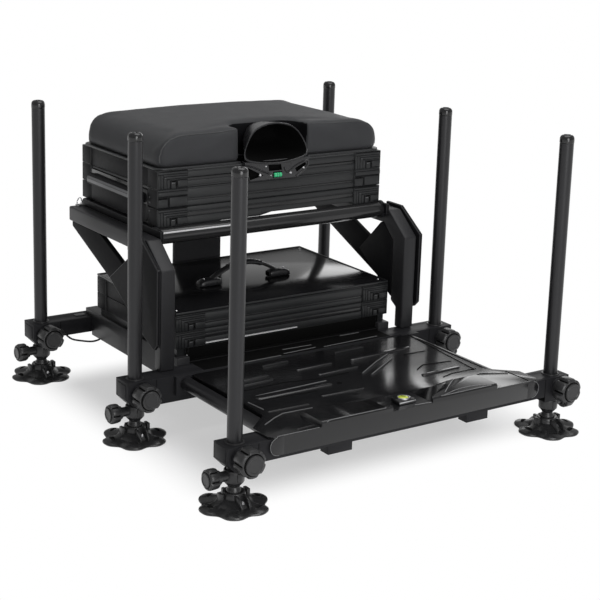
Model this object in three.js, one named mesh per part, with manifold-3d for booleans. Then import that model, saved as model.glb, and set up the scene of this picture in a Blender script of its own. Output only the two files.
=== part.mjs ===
// Fishing seat box: six clamped legs, a welded base, side frames, tray units, a seat and a footplate.
// Millimetres, +X to the right as seen from the footplate, +Y to the back, +Z up.

import * as THREE from 'three';
import { mergeVertices } from 'three/addons/utils/BufferGeometryUtils.js';
import Module from 'manifold-3d';

const wasm = await Module();
wasm.setup();

// General clearances and counts
const GAP = 0.3;
const FUSE = 1;
const OVERRUN = 6;
const MERGE_TOLERANCE = 1e-4;
const ROUND_SIDES = 24;
const SMALL_SIDES = 12;
const CAP_STEPS = 3;
const KNOB_STEPS = 6;
const FOOT_STEPS = 7;
const BALL_STEPS = 6;

// Leg stations
const LEG_SPACING = 670;
const REAR_ROW = 388;
const MIDDLE_ROW = 0;
const FRONT_ROW = -331;
const LEG_DIAMETER = 25;
const LEG_WALL = 1.8;
const LEG_TOP = 545;
const LEG_CAP_DEPTH = 14;
const LEG_CAP_ROUND = 4;
const LEG_CAP_DIMPLE = 1.5;
const BORE_CLEARANCE = 0.35;

// Base beams
const BEAM_BOTTOM = 64;
const BEAM_HEIGHT = 48;
const BEAM_DEPTH = 44;
const BLOCK_OVERHANG = 25;
const BLOCK_INNER_REACH = 30;
const BLOCK_CHAMFER = 16;
const REAR_BEAM_RISE = 18;
const PLATE_BEAM_RISE = 10;
const SIDE_BEAM_WIDTH = 25;
const SIDE_BEAM_HEIGHT = 50;
const SIDE_BEAM_BOTTOM = 75;
const SIDE_BEAM_LAP = 26;

// Clamp knobs on the beams
const CLAMP_HEIGHT = 89.5;
const CLAMP_BOSS_RADIUS = 17.5;
const CLAMP_BOSS_TIP = 16;
const CLAMP_BOSS_LENGTH = 9;
const CLAMP_KNOB_RADIUS = 22;
const CLAMP_KNOB_LENGTH = 27;
const CLAMP_KNOB_BUTTON = 4;
const CLAMP_SHANK_RADIUS = 5;
const CLAMP_SHANK_LENGTH = 13;
const KNOB_LOBES = 6;
const KNOB_DIP_SHARE = 0.14;
const KNOB_BUTTON_SHARE = 0.6;

// Feet
const COLLAR_RADIUS = 17;
const COLLAR_FLOOR = 41;
const COLLAR_CHAMFER = 3;
const COLLAR_SOCKET_DEPTH = 17;
const BALL_RADIUS = 12.8;
const BALL_CENTRE = 24.5;
const BALL_NECK = 8;
const SOCKET_RADIUS = 13.5;
const SOCKET_WALL = 5.5;
const SOCKET_TOP = 31;
const FOOT_RADIUS = 60;
const FOOT_THICKNESS = 9;
const FOOT_LOBES = 6;
const FOOT_DIP_SHARE = 0.13;
const FOOT_BEVEL = 2;
const FOOT_RIB_LENGTH = 15;
const FOOT_RIB_WIDTH = 9;
const FOOT_RIB_HEIGHT = 15;
const FOOT_KNOB_RADIUS = 15;
const FOOT_KNOB_LENGTH = 17;
const FOOT_KNOB_BUTTON = 2;
const FOOT_KNOB_HEIGHT = 54;
const FOOT_BOSS_RADIUS = 8.5;
const FOOT_BOSS_LENGTH = 16;
const FOOT_SHANK_RADIUS = 3.5;
const FOOT_SHANK_LENGTH = 16;

// Side frames
const FRAME_INNER = 253;
const FRAME_TUBE_WIDTH = 29;
const FRAME_GROOVE = 3.5;
const FRAME_PLATE = 7;
const UPRIGHT_FRONT = 4;
const UPRIGHT_DEPTH = 38;
const UPRIGHT_FOOT_DEPTH = 22;
const UPRIGHT_FOOT_HEIGHT = 40;
const UPRIGHT_FOOT_TAPER = 10;
const RAIL_TOP = 340;
const RAIL_HEIGHT = 28;
const RAIL_REAR = 370;
const CHAMFER_RUN = 54;
const CHAMFER_DROP = 45;
const INNER_CHAMFER = 30;
const PLATE_PROUD = 5;
const PLATE_REACH = 110;
const PLATE_TIP_Y = 181;
const PLATE_TIP_Z = 245;
const PLATE_TOP_Y = 88;
const PLATE_CORNER = 12;
const PLATE_HEEL = 14;
const GROOVE_SETBACK = 8;
const GUSSET_THICKNESS = 5;
const GUSSET_TIP_Y = 150;
const GUSSET_TIP_Z = 244;
const GUSSET_TOP_Y = 82;
const GUSSET_HEEL = 18;
const BRACE_THICKNESS = 10;
const BRACE_SETBACK = 3;
const BRACE_LOW_Y = 190;
const BRACE_LOW_Z = 229;
const BRACE_REAR_Z = 305.6;
const BRACE_WIDTH_UP = 63;
const BRACE_TOP_Y = 246;
const CROSS_TUBE_RADIUS = 15;
const CROSS_TUBE_Z = 337.5;
const FRONT_TUBE_Y = 84;
const REAR_TUBE_Y = 358;
const REAR_PANEL_WIDTH = 110;
const REAR_PANEL_THICKNESS = 11;
const REAR_PANEL_BEVEL = 3;

// Upper unit
const UPPER_WIDTH = 492;
const UPPER_FRONT = 83;
const UPPER_REAR = 384;
const UPPER_LAYER_HEIGHT = 34;
const WALL = 5;
const FLOOR = 3;
const CORNER_WIDTH = 61;
const CORNER_DEPTH = 37;
const CORNER_PROUD = 2.5;
const CORNER_SEAM = 1.6;
const GROOVE_DEPTH = 1.6;
const GROOVE_WIDTH = 4;
const UNDER_SLOT_RISE = 5;
const UNDER_SLOT_START = -28;
const UNDER_SLOT_TAPER = 25;
const DRAWER_WALL = 2.5;
const DRAWER_FACE = 3;
const DRAWER_FACE_LIP = 3;
const DRAWER_GAP = 0.8;
const DRAWER_FLOOR = 6;
const DRAWER_BAY_MARGIN = 1;
const HANDLE_LENGTH = 205;
const HANDLE_HEIGHT = 18;
const HANDLE_REACH = 14;
const HANDLE_BEVEL = 8;
const HANDLE_DROP = 8;

// Seat cushion
const CUSHION_EDGE_HEIGHT = 63;
const CUSHION_CROWN = 6;
const CUSHION_EDGE_RADIUS = 42;
const CUSHION_EDGE_STEPS = 7;
const CUSHION_CROWN_STEPS = 10;
const CUSHION_PLAN_CORNER = 20;
const CUSHION_SEAM_BEVEL = 5;
const CUSHION_DRAW_IN = 3;
const CUSHION_DRAW_IN_HEIGHT = 18;
const NOTCH_WIDTH = 164;
const NOTCH_DEPTH = 68;
const NOTCH_CORNER = 30;
const NOTCH_CORNER_STEPS = 5;

// Pole cup
const CUP_WIDTH = 142;
const CUP_HEIGHT = 84;
const CUP_BOTTOM = 450.5;
const CUP_LEAN = 12;
const CUP_LENGTH = 74;
const CUP_REACH = 16;
const CUP_WALL = 3.5;
const CUP_BACK_RISE = 24;
const CUP_BACK_SHARE = 0.6;
const CUP_FOOT_TOP = 459;
const CUP_FOOT_HEIGHT = 37;
const CUP_FOOT_THICKNESS = 12;
const CUP_FOOT_CORNER = 20;
const CUP_OUTLINE_SHARES = [
  [-0.5, 0.22], [-0.47, 0.45], [-0.26, 0.93], [-0.16, 1], [0.16, 1], [0.26, 0.93],
  [0.47, 0.45], [0.5, 0.22], [0.4, 0.06], [0.25, 0], [-0.25, 0], [-0.4, 0.06],
];
const VIAL_RADIUS = 4.5;
const VIAL_LENGTH = 17;
const VIAL_DROP = 29;

// Lower unit
const LOWER_WIDTH = 474;
const LOWER_FRONT = 30;
const LOWER_REAR = 340;
const LOWER_LAYER_HEIGHT = 31;
const RUNNER_HEIGHT = 14;
const RUNNER_INSET = 5;
const LID_THICKNESS = 4;
const CARRY_BLOCK_LENGTH = 46;
const CARRY_BLOCK_WIDTH = 24;
const CARRY_BLOCK_HEIGHT = 15;
const CARRY_BLOCK_TOE = 5;
const CARRY_SPAN = 204;
const CARRY_X = -10;
const CARRY_Y = 166;
const CARRY_RISE = 43;
const CARRY_STRAP_RADIUS = 6;
const CARRY_STEPS = 16;
const CARRY_HALF_POINTS = 2;

// Footplate
const PLATE_RAIL_X = 250;
const PLATE_RAIL_Z = 98;
const PLATE_RAIL_RADIUS = 12;
const PLATE_RAIL_WALL = 2;
const STUB_LENGTH = 120;
const BRACKET_WIDTH = 40;
const BRACKET_DEPTH = 10;
const BRACKET_HEIGHT = 34;
const PLATE_BEAM_DROP = 4;
const DECK_THICKNESS = 4;
const DECK_FLANGE_DROP = 12;
const SKIRT_HALF_WIDTH = 285;
const SKIRT_START = -262;
const SKIRT_FULL = -304;
const LIP_HEIGHT = 32;
const LIP_THICKNESS = 3;
const LIP_CORNER = 9;
const HUMP_INNER = 42;
const HUMP_OUTER = 186;
const HUMP_RISE = 9;
const HUMP_DEPTH = 66;
const PAD_INNER = 122;
const PAD_OUTER = 170;
const PAD_DROP = 14;
const PAD_DEPTH = 22;
const LEVEL_WIDTH = 34;
const LEVEL_DEPTH = 24;
const LEVEL_HEIGHT = 7;
const LEVEL_Y = -328;
const LEVEL_VIAL_RADIUS = 9;
const LEVEL_VIAL_HEIGHT = 3;

// Lanyard cord, a thin loop from the rear beam to the left side beam
const CORD_RADIUS = 1.4;
const CORD_SIDES = 8;
const CORD_STEPS = 20;
const CORD_ROUTE = [
  [-303, 365.7, 96],
  [-303, 359, 95],
  [-300, 354, 90],
  [-287, 351, 78],
  [-265, 350, 71],
  [-245, 349, 67],
  [-231, 349, 68],
  [-226, 349, 71],
  [-225, 349, 74.7],
];

// Places worked out from the sizes above
const legRadius = LEG_DIAMETER / 2;
const legX = LEG_SPACING / 2;
const beamHalfLength = legX + BLOCK_OVERHANG;
const beamTop = BEAM_BOTTOM + BEAM_HEIGHT;
const beamHalfDepth = BEAM_DEPTH / 2;
const plateBeamTop = beamTop - PLATE_BEAM_DROP;
const collarTop = BEAM_BOTTOM - GAP;
const tubeBottom = collarTop - COLLAR_SOCKET_DEPTH;
const boreRadius = legRadius + BORE_CLEARANCE;
const footBossFace = COLLAR_RADIUS + FOOT_BOSS_LENGTH;
const stubRadius = PLATE_RAIL_RADIUS - PLATE_RAIL_WALL - BORE_CLEARANCE;
const sideBeamTop = SIDE_BEAM_BOTTOM + SIDE_BEAM_HEIGHT;
const railBottom = RAIL_TOP - RAIL_HEIGHT;
const uprightBack = UPRIGHT_FRONT + UPRIGHT_DEPTH;
const uprightFootTop = beamTop + UPRIGHT_FOOT_HEIGHT;
const grooveStart = FRAME_INNER + FRAME_TUBE_WIDTH;
const plateStart = grooveStart + FRAME_GROOVE;
const braceSlope = (BRACE_REAR_Z - BRACE_LOW_Z) / (RAIL_REAR - BRACE_LOW_Y);
const upperHalfWidth = UPPER_WIDTH / 2;
const upperYs = [UPPER_FRONT, UPPER_REAR];
const upperBottom = CROSS_TUBE_Z + CROSS_TUBE_RADIUS + GAP;
const cabinetTop = upperBottom + 2 * UPPER_LAYER_HEIGHT;
const trayBottom = cabinetTop + GAP;
const trayTop = trayBottom + UPPER_LAYER_HEIGHT;
const cushionBottom = trayTop + GAP;
const drawerBayEnd = upperHalfWidth - CORNER_PROUD - WALL;
const drawerBayMargin = CORNER_DEPTH + DRAWER_BAY_MARGIN;
const drawerBayYs = [UPPER_FRONT + drawerBayMargin, UPPER_REAR - drawerBayMargin];
const drawerBayZs = [upperBottom + DRAWER_FLOOR, cabinetTop - WALL];
const cupMouth = UPPER_FRONT - CUP_REACH;
const cupFootFront = UPPER_FRONT + CORNER_PROUD - GAP - CUP_FOOT_THICKNESS;
const vialAxis = [cupFootFront, CUP_FOOT_TOP - VIAL_DROP];
const lowerHalfWidth = LOWER_WIDTH / 2;
const lowerYs = [LOWER_FRONT, LOWER_REAR];
const lowerBottom = sideBeamTop + GAP + RUNNER_HEIGHT;
const lowerMiddle = lowerBottom + LOWER_LAYER_HEIGHT;
const lidBottom = lowerMiddle + GAP + LOWER_LAYER_HEIGHT + GAP;
const lidTop = lidBottom + LID_THICKNESS;
const plateBeamFront = FRONT_ROW - beamHalfDepth;
const plateBeamBack = FRONT_ROW + beamHalfDepth;
const deckBottom = plateBeamTop + GAP;
const deckTop = deckBottom + DECK_THICKNESS;
const deckRear = -(beamHalfDepth + BRACKET_DEPTH + GAP);
const lipFront = plateBeamFront - GAP - LIP_THICKNESS;
const deckHalfWidth = PLATE_RAIL_X - PLATE_RAIL_RADIUS - GAP;

// Finishes
const FINISHES = {
  satinTube: { color: 0x2b2c2e, roughness: 0.42, metalness: 0.55 },
  powderCoat: { color: 0x222326, roughness: 0.55, metalness: 0.3 },
  extrusion: { color: 0x1f2022, roughness: 0.4, metalness: 0.5 },
  knobPlastic: { color: 0x1c1d1f, roughness: 0.5, metalness: 0 },
  footPlastic: { color: 0x1a1b1c, roughness: 0.6, metalness: 0 },
  glossPlastic: { color: 0x0d0e10, roughness: 0.14, metalness: 0 },
  lidPlastic: { color: 0x101113, roughness: 0.16, metalness: 0 },
  cupPlastic: { color: 0x141416, roughness: 0.45, metalness: 0 },
  seatVinyl: { color: 0x1d1e21, roughness: 0.6, metalness: 0 },
  panelFabric: { color: 0x1c1c1f, roughness: 0.85, metalness: 0 },
  greyPlastic: { color: 0x4c4e51, roughness: 0.5, metalness: 0 },
  greenVial: { color: 0x1fa35c, roughness: 0.2, metalness: 0 },
  yellowVial: { color: 0xb8d433, roughness: 0.2, metalness: 0 },
  cordBlack: { color: 0x0b0b0c, roughness: 0.8, metalness: 0 },
};

const assembly = new THREE.Group();

// Solids from three.js geometry
function solid(geometry) {
  geometry.deleteAttribute('normal');
  geometry.deleteAttribute('uv');
  const merged = mergeVertices(geometry, MERGE_TOLERANCE);
  const triangles = [];
  for (let corner = 0; corner < merged.index.count; corner += 3) {
    const [a, b, c] = [0, 1, 2].map((step) => merged.index.getX(corner + step));
    if (a !== b && b !== c && c !== a) {
      triangles.push(a, b, c);
    }
  }
  return new wasm.Manifold(new wasm.Mesh({
    numProp: 3,
    vertProperties: merged.attributes.position.array,
    triVerts: Uint32Array.from(triangles),
  }));
}

function geometryOf(shape) {
  const mesh = shape.getMesh();
  const geometry = new THREE.BufferGeometry();
  geometry.setAttribute('position', new THREE.BufferAttribute(mesh.vertProperties, mesh.numProp));
  geometry.setIndex(new THREE.BufferAttribute(mesh.triVerts, 1));
  geometry.computeVertexNormals();
  return geometry;
}

function addPart(parent, name, shape, finish) {
  const mesh = new THREE.Mesh(geometryOf(shape), new THREE.MeshStandardMaterial(FINISHES[finish]));
  mesh.name = name;
  parent.add(mesh);
}

function union(shapes) {
  return shapes.reduce((whole, shape) => whole.add(shape));
}

function shapeOf(points) {
  return new THREE.Shape(points.map(([x, y]) => new THREE.Vector2(x, y)));
}

// A box between two corners
function box(xs, ys, zs) {
  const geometry = new THREE.BoxGeometry(xs[1] - xs[0], ys[1] - ys[0], zs[1] - zs[0]);
  geometry.translate((xs[0] + xs[1]) / 2, (ys[0] + ys[1]) / 2, (zs[0] + zs[1]) / 2);
  return solid(geometry);
}

// Prisms: outlines are (x, y), (y, z) and (x, z) points
function prismZ(points, zs, bevel = {}) {
  const geometry = new THREE.ExtrudeGeometry(shapeOf(points), {
    depth: zs[1] - zs[0],
    bevelEnabled: false,
    ...bevel,
  });
  return solid(geometry.translate(0, 0, zs[0]));
}

function prismX(points, xs) {
  const geometry = new THREE.ExtrudeGeometry(shapeOf(points), {
    depth: xs[1] - xs[0],
    bevelEnabled: false,
  });
  const turn = new THREE.Matrix4().makeBasis(
    new THREE.Vector3(0, 1, 0),
    new THREE.Vector3(0, 0, 1),
    new THREE.Vector3(1, 0, 0),
  );
  return solid(geometry.applyMatrix4(turn).translate(xs[0], 0, 0));
}

function prismYGeometry(points, ys, bevel = {}) {
  const geometry = new THREE.ExtrudeGeometry(shapeOf(points), {
    depth: ys[1] - ys[0],
    bevelEnabled: false,
    ...bevel,
  });
  return geometry.rotateX(Math.PI / 2).translate(0, ys[1], 0);
}

function prismY(points, ys) {
  return solid(prismYGeometry(points, ys));
}

// Round bodies: a rod along an axis, and a turned profile of (radius, z) points
function rod(axis, radius, from, to, centre, sides = ROUND_SIDES, endRadius = radius) {
  const geometry = new THREE.CylinderGeometry(endRadius, radius, to - from, sides);
  geometry.translate(0, (from + to) / 2, 0);
  if (axis === 'x') {
    geometry.rotateZ(-Math.PI / 2).translate(0, centre[0], centre[1]);
  } else if (axis === 'z') {
    geometry.rotateX(Math.PI / 2).translate(centre[0], centre[1], 0);
  } else {
    geometry.translate(centre[0], 0, centre[1]);
  }
  return solid(geometry);
}

function turned(profile, sides = ROUND_SIDES) {
  const geometry = new THREE.LatheGeometry(profile.map(([r, z]) => new THREE.Vector2(r, z)), sides);
  return solid(geometry.rotateX(Math.PI / 2));
}

function arc(centreX, centreY, radius, startDegrees, endDegrees, steps) {
  const points = [];
  for (let step = 0; step <= steps; step += 1) {
    const angle = THREE.MathUtils.degToRad(startDegrees + ((endDegrees - startDegrees) * step) / steps);
    points.push([centreX + radius * Math.cos(angle), centreY + radius * Math.sin(angle)]);
  }
  return points;
}

// The x range of a piece between an inner and an outer distance, on the side -1 or 1
function sideRange(side, inner, outer) {
  return side < 0 ? [-outer, -inner] : [inner, outer];
}

// A circle with rounded dips between its lobes
function lobed(radius, lobes, dipShare, stepsPerLobe) {
  const points = [];
  for (let step = 0; step < lobes * stepsPerLobe; step += 1) {
    const angle = (2 * Math.PI * step) / (lobes * stepsPerLobe);
    const dip = (1 - Math.cos(angle * lobes)) / 2;
    const reach = radius * (1 - dipShare * dip);
    points.push([reach * Math.cos(angle), reach * Math.sin(angle)]);
  }
  return points;
}

// Leg station: tube with a closed cap, clamp knob, foot collar with its ball, foot knob and wide foot
function legTube() {
  const bore = legRadius - LEG_WALL;
  const capFloor = LEG_TOP - LEG_CAP_DEPTH;
  const shoulder = LEG_TOP - LEG_CAP_ROUND;
  return turned([
    [0, capFloor],
    [bore, capFloor],
    [bore, tubeBottom],
    [legRadius, tubeBottom],
    ...arc(legRadius - LEG_CAP_ROUND, shoulder, LEG_CAP_ROUND, 0, 90, CAP_STEPS),
    [0, LEG_TOP - LEG_CAP_DIMPLE],
  ]);
}

// A lobed knob facing -Y, with the back of its grip at y = 0 and its shank reaching to +Y
function handKnob(radius, length, button, shankRadius, shankLength) {
  const grip = prismY(lobed(radius, KNOB_LOBES, KNOB_DIP_SHARE, KNOB_STEPS), [-length, 0]);
  const end = rod('y', radius * KNOB_BUTTON_SHARE, -length - button, FUSE - length, [0, 0], SMALL_SIDES);
  const shank = rod('y', shankRadius, -FUSE, shankLength, [0, 0], SMALL_SIDES);
  return union([grip, end, shank]);
}

function footCollar() {
  const neckAngle = THREE.MathUtils.radToDeg(Math.acos(BALL_NECK / BALL_RADIUS));
  const socketFloor = tubeBottom - GAP;
  const turnedBody = turned([
    ...arc(0, BALL_CENTRE, BALL_RADIUS, -90, neckAngle, BALL_STEPS),
    [BALL_NECK, COLLAR_FLOOR],
    [COLLAR_RADIUS - COLLAR_CHAMFER, COLLAR_FLOOR],
    [COLLAR_RADIUS, COLLAR_FLOOR + COLLAR_CHAMFER],
    [COLLAR_RADIUS, collarTop],
    [boreRadius, collarTop],
    [boreRadius, socketFloor],
    [0, socketFloor],
  ]);
  const axis = [0, FOOT_KNOB_HEIGHT];
  const boss = rod('x', FOOT_BOSS_RADIUS, boreRadius + FUSE, footBossFace, axis, SMALL_SIDES);
  const hole = rod('x', FOOT_SHANK_RADIUS + BORE_CLEARANCE, 0, footBossFace + OVERRUN, axis, SMALL_SIDES);
  const keptBore = rod('z', boreRadius, socketFloor, collarTop + OVERRUN, [0, 0]);
  return turnedBody.add(boss.subtract(keptBore)).subtract(hole);
}

function mudFoot() {
  const outline = lobed(FOOT_RADIUS - FOOT_BEVEL, FOOT_LOBES, FOOT_DIP_SHARE, FOOT_STEPS);
  const disc = prismZ(outline, [FOOT_BEVEL, FOOT_THICKNESS - FOOT_BEVEL], {
    bevelEnabled: true,
    bevelThickness: FOOT_BEVEL,
    bevelSize: FOOT_BEVEL,
    bevelSegments: 1,
  });
  const hubRadius = SOCKET_RADIUS + SOCKET_WALL;
  const rimAngle = THREE.MathUtils.radToDeg(Math.asin((SOCKET_TOP - BALL_CENTRE) / SOCKET_RADIUS));
  const hub = turned([
    [0, FUSE],
    [hubRadius, FUSE],
    [hubRadius, SOCKET_TOP],
    ...arc(0, BALL_CENTRE, SOCKET_RADIUS, rimAngle, -90, BALL_STEPS),
  ]);
  const socket = rod('z', hubRadius - FUSE, FUSE, FOOT_THICKNESS + FOOT_RIB_HEIGHT + FUSE, [0, 0]);
  const ribReach = hubRadius + FOOT_RIB_LENGTH;
  const ribSpan = [-FOOT_RIB_WIDTH / 2, FOOT_RIB_WIDTH / 2];
  const ribs = box([-ribReach, ribReach], ribSpan, [FUSE, FOOT_THICKNESS + FOOT_RIB_HEIGHT]);
  return union([disc, hub, ribs.subtract(socket)]);
}

function addLegStation(name, side, row) {
  const station = new THREE.Group();
  station.position.set(side * legX, row, 0);
  assembly.add(station);
  addPart(station, `leg_tube_${name}`, legTube(), 'satinTube');
  addPart(station, `mud_foot_${name}`, mudFoot(), 'footPlastic');

  const clamp = new THREE.Group();
  clamp.position.set(0, -beamHalfDepth - CLAMP_BOSS_LENGTH - GAP, CLAMP_HEIGHT);
  station.add(clamp);
  const clampSizes = [CLAMP_KNOB_RADIUS, CLAMP_KNOB_LENGTH, CLAMP_KNOB_BUTTON];
  const clampKnob = handKnob(...clampSizes, CLAMP_SHANK_RADIUS, CLAMP_SHANK_LENGTH);
  addPart(clamp, `leg_clamp_knob_${name}`, clampKnob, 'knobPlastic');

  const ankle = new THREE.Group();
  ankle.rotation.z = side < 0 ? Math.PI : 0;
  station.add(ankle);
  addPart(ankle, `foot_collar_${name}`, footCollar(), 'footPlastic');

  const lock = new THREE.Group();
  lock.position.set(footBossFace + GAP, 0, FOOT_KNOB_HEIGHT);
  lock.rotation.z = Math.PI / 2;
  ankle.add(lock);
  const lockSizes = [FOOT_KNOB_RADIUS, FOOT_KNOB_LENGTH, FOOT_KNOB_BUTTON];
  const footKnob = handKnob(...lockSizes, FOOT_SHANK_RADIUS, FOOT_SHANK_LENGTH);
  addPart(lock, `foot_knob_${name}`, footKnob, 'knobPlastic');
}

// Beams across the object, bored for the legs and for the clamp screws
function clampBeam(row, top, rise) {
  const face = row - beamHalfDepth;
  const blockInner = legX - BLOCK_INNER_REACH;
  const tip = face - CLAMP_BOSS_LENGTH;
  const corner = beamHalfLength - BLOCK_CHAMFER;
  const shoulder = BEAM_BOTTOM + BLOCK_CHAMFER;
  let beam = prismY([
    [-corner, BEAM_BOTTOM],
    [corner, BEAM_BOTTOM],
    [beamHalfLength, shoulder],
    [beamHalfLength, top],
    [-beamHalfLength, top],
    [-beamHalfLength, shoulder],
  ], [face, row + beamHalfDepth]);
  const underside = [BEAM_BOTTOM - OVERRUN, BEAM_BOTTOM + rise];
  const through = [face - OVERRUN, row + beamHalfDepth + OVERRUN];
  beam = beam.subtract(box([-blockInner, blockInner], through, underside));
  for (const x of [-legX, legX]) {
    const axis = [x, CLAMP_HEIGHT];
    const boss = rod('y', CLAMP_BOSS_TIP, tip, face + FUSE, axis, ROUND_SIDES, CLAMP_BOSS_RADIUS);
    const screwHole = rod('y', CLAMP_SHANK_RADIUS + BORE_CLEARANCE, tip - OVERRUN, row, axis, SMALL_SIDES);
    const legBore = rod('z', boreRadius, BEAM_BOTTOM - OVERRUN, top + OVERRUN, [x, row]);
    beam = beam.add(boss).subtract(screwHole).subtract(legBore);
  }
  return beam;
}

function baseFrontBeam() {
  const front = -beamHalfDepth;
  const halfWidth = BRACKET_WIDTH / 2;
  const parts = [clampBeam(MIDDLE_ROW, beamTop, 0)];
  for (const x of [-PLATE_RAIL_X, PLATE_RAIL_X]) {
    const bracketSpan = [front - BRACKET_DEPTH, front + FUSE];
    const stubSpan = [front - BRACKET_DEPTH - STUB_LENGTH, front];
    parts.push(box([x - halfWidth, x + halfWidth], bracketSpan, [beamTop - BRACKET_HEIGHT, beamTop]));
    parts.push(rod('y', stubRadius, ...stubSpan, [x, PLATE_RAIL_Z]));
  }
  return union(parts);
}

function footplateBeam() {
  const parts = [clampBeam(FRONT_ROW, plateBeamTop, PLATE_BEAM_RISE)];
  const underside = BEAM_BOTTOM + PLATE_BEAM_RISE;
  const padYs = [plateBeamFront, plateBeamFront + PAD_DEPTH];
  const padZs = [underside - PAD_DROP, underside + FUSE];
  for (const side of [-1, 1]) {
    parts.push(box(sideRange(side, PAD_INNER, PAD_OUTER), padYs, padZs));
  }
  return union(parts);
}

function sideBeam(side) {
  const across = sideRange(side, lowerHalfWidth - SIDE_BEAM_WIDTH, lowerHalfWidth);
  const rearFace = REAR_ROW - beamHalfDepth;
  const rail = box(across, [beamHalfDepth + GAP, rearFace - GAP], [SIDE_BEAM_BOTTOM, sideBeamTop]);
  const lap = box(across, [rearFace - GAP - FUSE, rearFace + SIDE_BEAM_LAP], [beamTop + GAP, sideBeamTop]);
  return rail.add(lap);
}

// Side frame: an upright that bends into a rail, with a groove and a gusset plate on its outer side
function sideFrame(side) {
  const footBack = UPRIGHT_FRONT + UPRIGHT_FOOT_DEPTH;
  const innerCorner = railBottom - INNER_CHAMFER;
  const tube = prismX([
    [UPRIGHT_FRONT, beamTop + GAP],
    [footBack, beamTop + GAP],
    [footBack, uprightFootTop],
    [uprightBack, uprightFootTop + UPRIGHT_FOOT_TAPER],
    [uprightBack, innerCorner],
    [uprightBack + INNER_CHAMFER, railBottom],
    [RAIL_REAR, railBottom],
    [RAIL_REAR, RAIL_TOP],
    [UPRIGHT_FRONT + CHAMFER_RUN, RAIL_TOP],
    [UPRIGHT_FRONT, RAIL_TOP - CHAMFER_DROP],
  ], sideRange(side, FRAME_INNER, grooveStart));
  const web = prismX([
    [UPRIGHT_FRONT + GROOVE_SETBACK, uprightFootTop + GROOVE_SETBACK],
    [uprightBack, uprightFootTop + PLATE_HEEL],
    [uprightBack, innerCorner],
    [uprightBack + INNER_CHAMFER, railBottom],
    [PLATE_REACH, railBottom],
    [PLATE_REACH, RAIL_TOP - GROOVE_SETBACK],
    [UPRIGHT_FRONT + CHAMFER_RUN, RAIL_TOP - GROOVE_SETBACK],
    [UPRIGHT_FRONT + GROOVE_SETBACK, RAIL_TOP - CHAMFER_DROP],
  ], sideRange(side, grooveStart - FUSE, plateStart + FUSE));
  const plate = prismX([
    [UPRIGHT_FRONT - PLATE_PROUD, uprightFootTop + PLATE_CORNER],
    [UPRIGHT_FRONT - PLATE_PROUD + PLATE_CORNER, uprightFootTop],
    [uprightBack, uprightFootTop + PLATE_HEEL],
    [PLATE_TIP_Y, PLATE_TIP_Z],
    [PLATE_TOP_Y, railBottom],
    [PLATE_REACH, railBottom],
    [PLATE_REACH, RAIL_TOP + PLATE_PROUD],
    [UPRIGHT_FRONT + CHAMFER_RUN + PLATE_PROUD, RAIL_TOP + PLATE_PROUD],
    [UPRIGHT_FRONT - PLATE_PROUD, RAIL_TOP - CHAMFER_DROP + PLATE_PROUD],
  ], sideRange(side, plateStart, plateStart + FRAME_PLATE));
  return union([tube, web, plate]);
}

// Gusset: a plate in the inner corner between the upright and the rail
function gusset(side) {
  const front = uprightBack + GAP;
  const top = railBottom - GAP;
  const innerCorner = railBottom - INNER_CHAMFER - GAP;
  return prismX([
    [front, uprightFootTop + GUSSET_HEEL],
    [GUSSET_TIP_Y, GUSSET_TIP_Z],
    [GUSSET_TOP_Y, top],
    [front + INNER_CHAMFER, top],
    [front, innerCorner],
  ], sideRange(side, FRAME_INNER, FRAME_INNER + GUSSET_THICKNESS));
}

// Brace: a sloping plate under the rail, from the upright to the rear end
function brace(side) {
  const front = uprightBack + GAP;
  const rear = RAIL_REAR - GROOVE_SETBACK;
  const top = railBottom - GAP;
  const lowerEdge = (y) => BRACE_LOW_Z + braceSlope * (y - BRACE_LOW_Y);
  const outer = grooveStart - BRACE_SETBACK;
  return prismX([
    [front, lowerEdge(front)],
    [rear, lowerEdge(rear)],
    [rear, top],
    [BRACE_TOP_Y, top],
    [front, lowerEdge(front) + BRACE_WIDTH_UP],
  ], sideRange(side, outer - BRACE_THICKNESS, outer));
}

function crossTube(y) {
  const halfLength = FRAME_INNER - GAP;
  return rod('x', CROSS_TUBE_RADIUS, -halfLength, halfLength, [y, CROSS_TUBE_Z]);
}

function rearPanel() {
  const halfWidth = REAR_PANEL_WIDTH / 2;
  const top = CROSS_TUBE_Z - CROSS_TUBE_RADIUS - GAP;
  const bottom = beamTop + GAP;
  const corners = [[-halfWidth, bottom], [halfWidth, bottom], [halfWidth, top], [-halfWidth, top]];
  const span = [RAIL_REAR - REAR_PANEL_THICKNESS + REAR_PANEL_BEVEL, RAIL_REAR - REAR_PANEL_BEVEL];
  return solid(prismYGeometry(corners, span, {
    bevelEnabled: true,
    bevelThickness: REAR_PANEL_BEVEL,
    bevelSize: REAR_PANEL_BEVEL,
    bevelOffset: -REAR_PANEL_BEVEL,
    bevelSegments: 2,
  }));
}

// Tray bodies: a core with proud corner blocks, a groove along each layer and a seam between layers
function ringCut(halfWidth, ys, zs, depth) {
  const outer = box([-halfWidth - OVERRUN, halfWidth + OVERRUN], [ys[0] - OVERRUN, ys[1] + OVERRUN], zs);
  const kept = box(
    [depth - halfWidth, halfWidth - depth],
    [ys[0] + depth, ys[1] - depth],
    [zs[0] - OVERRUN, zs[1] + OVERRUN],
  );
  return outer.subtract(kept);
}

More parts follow.
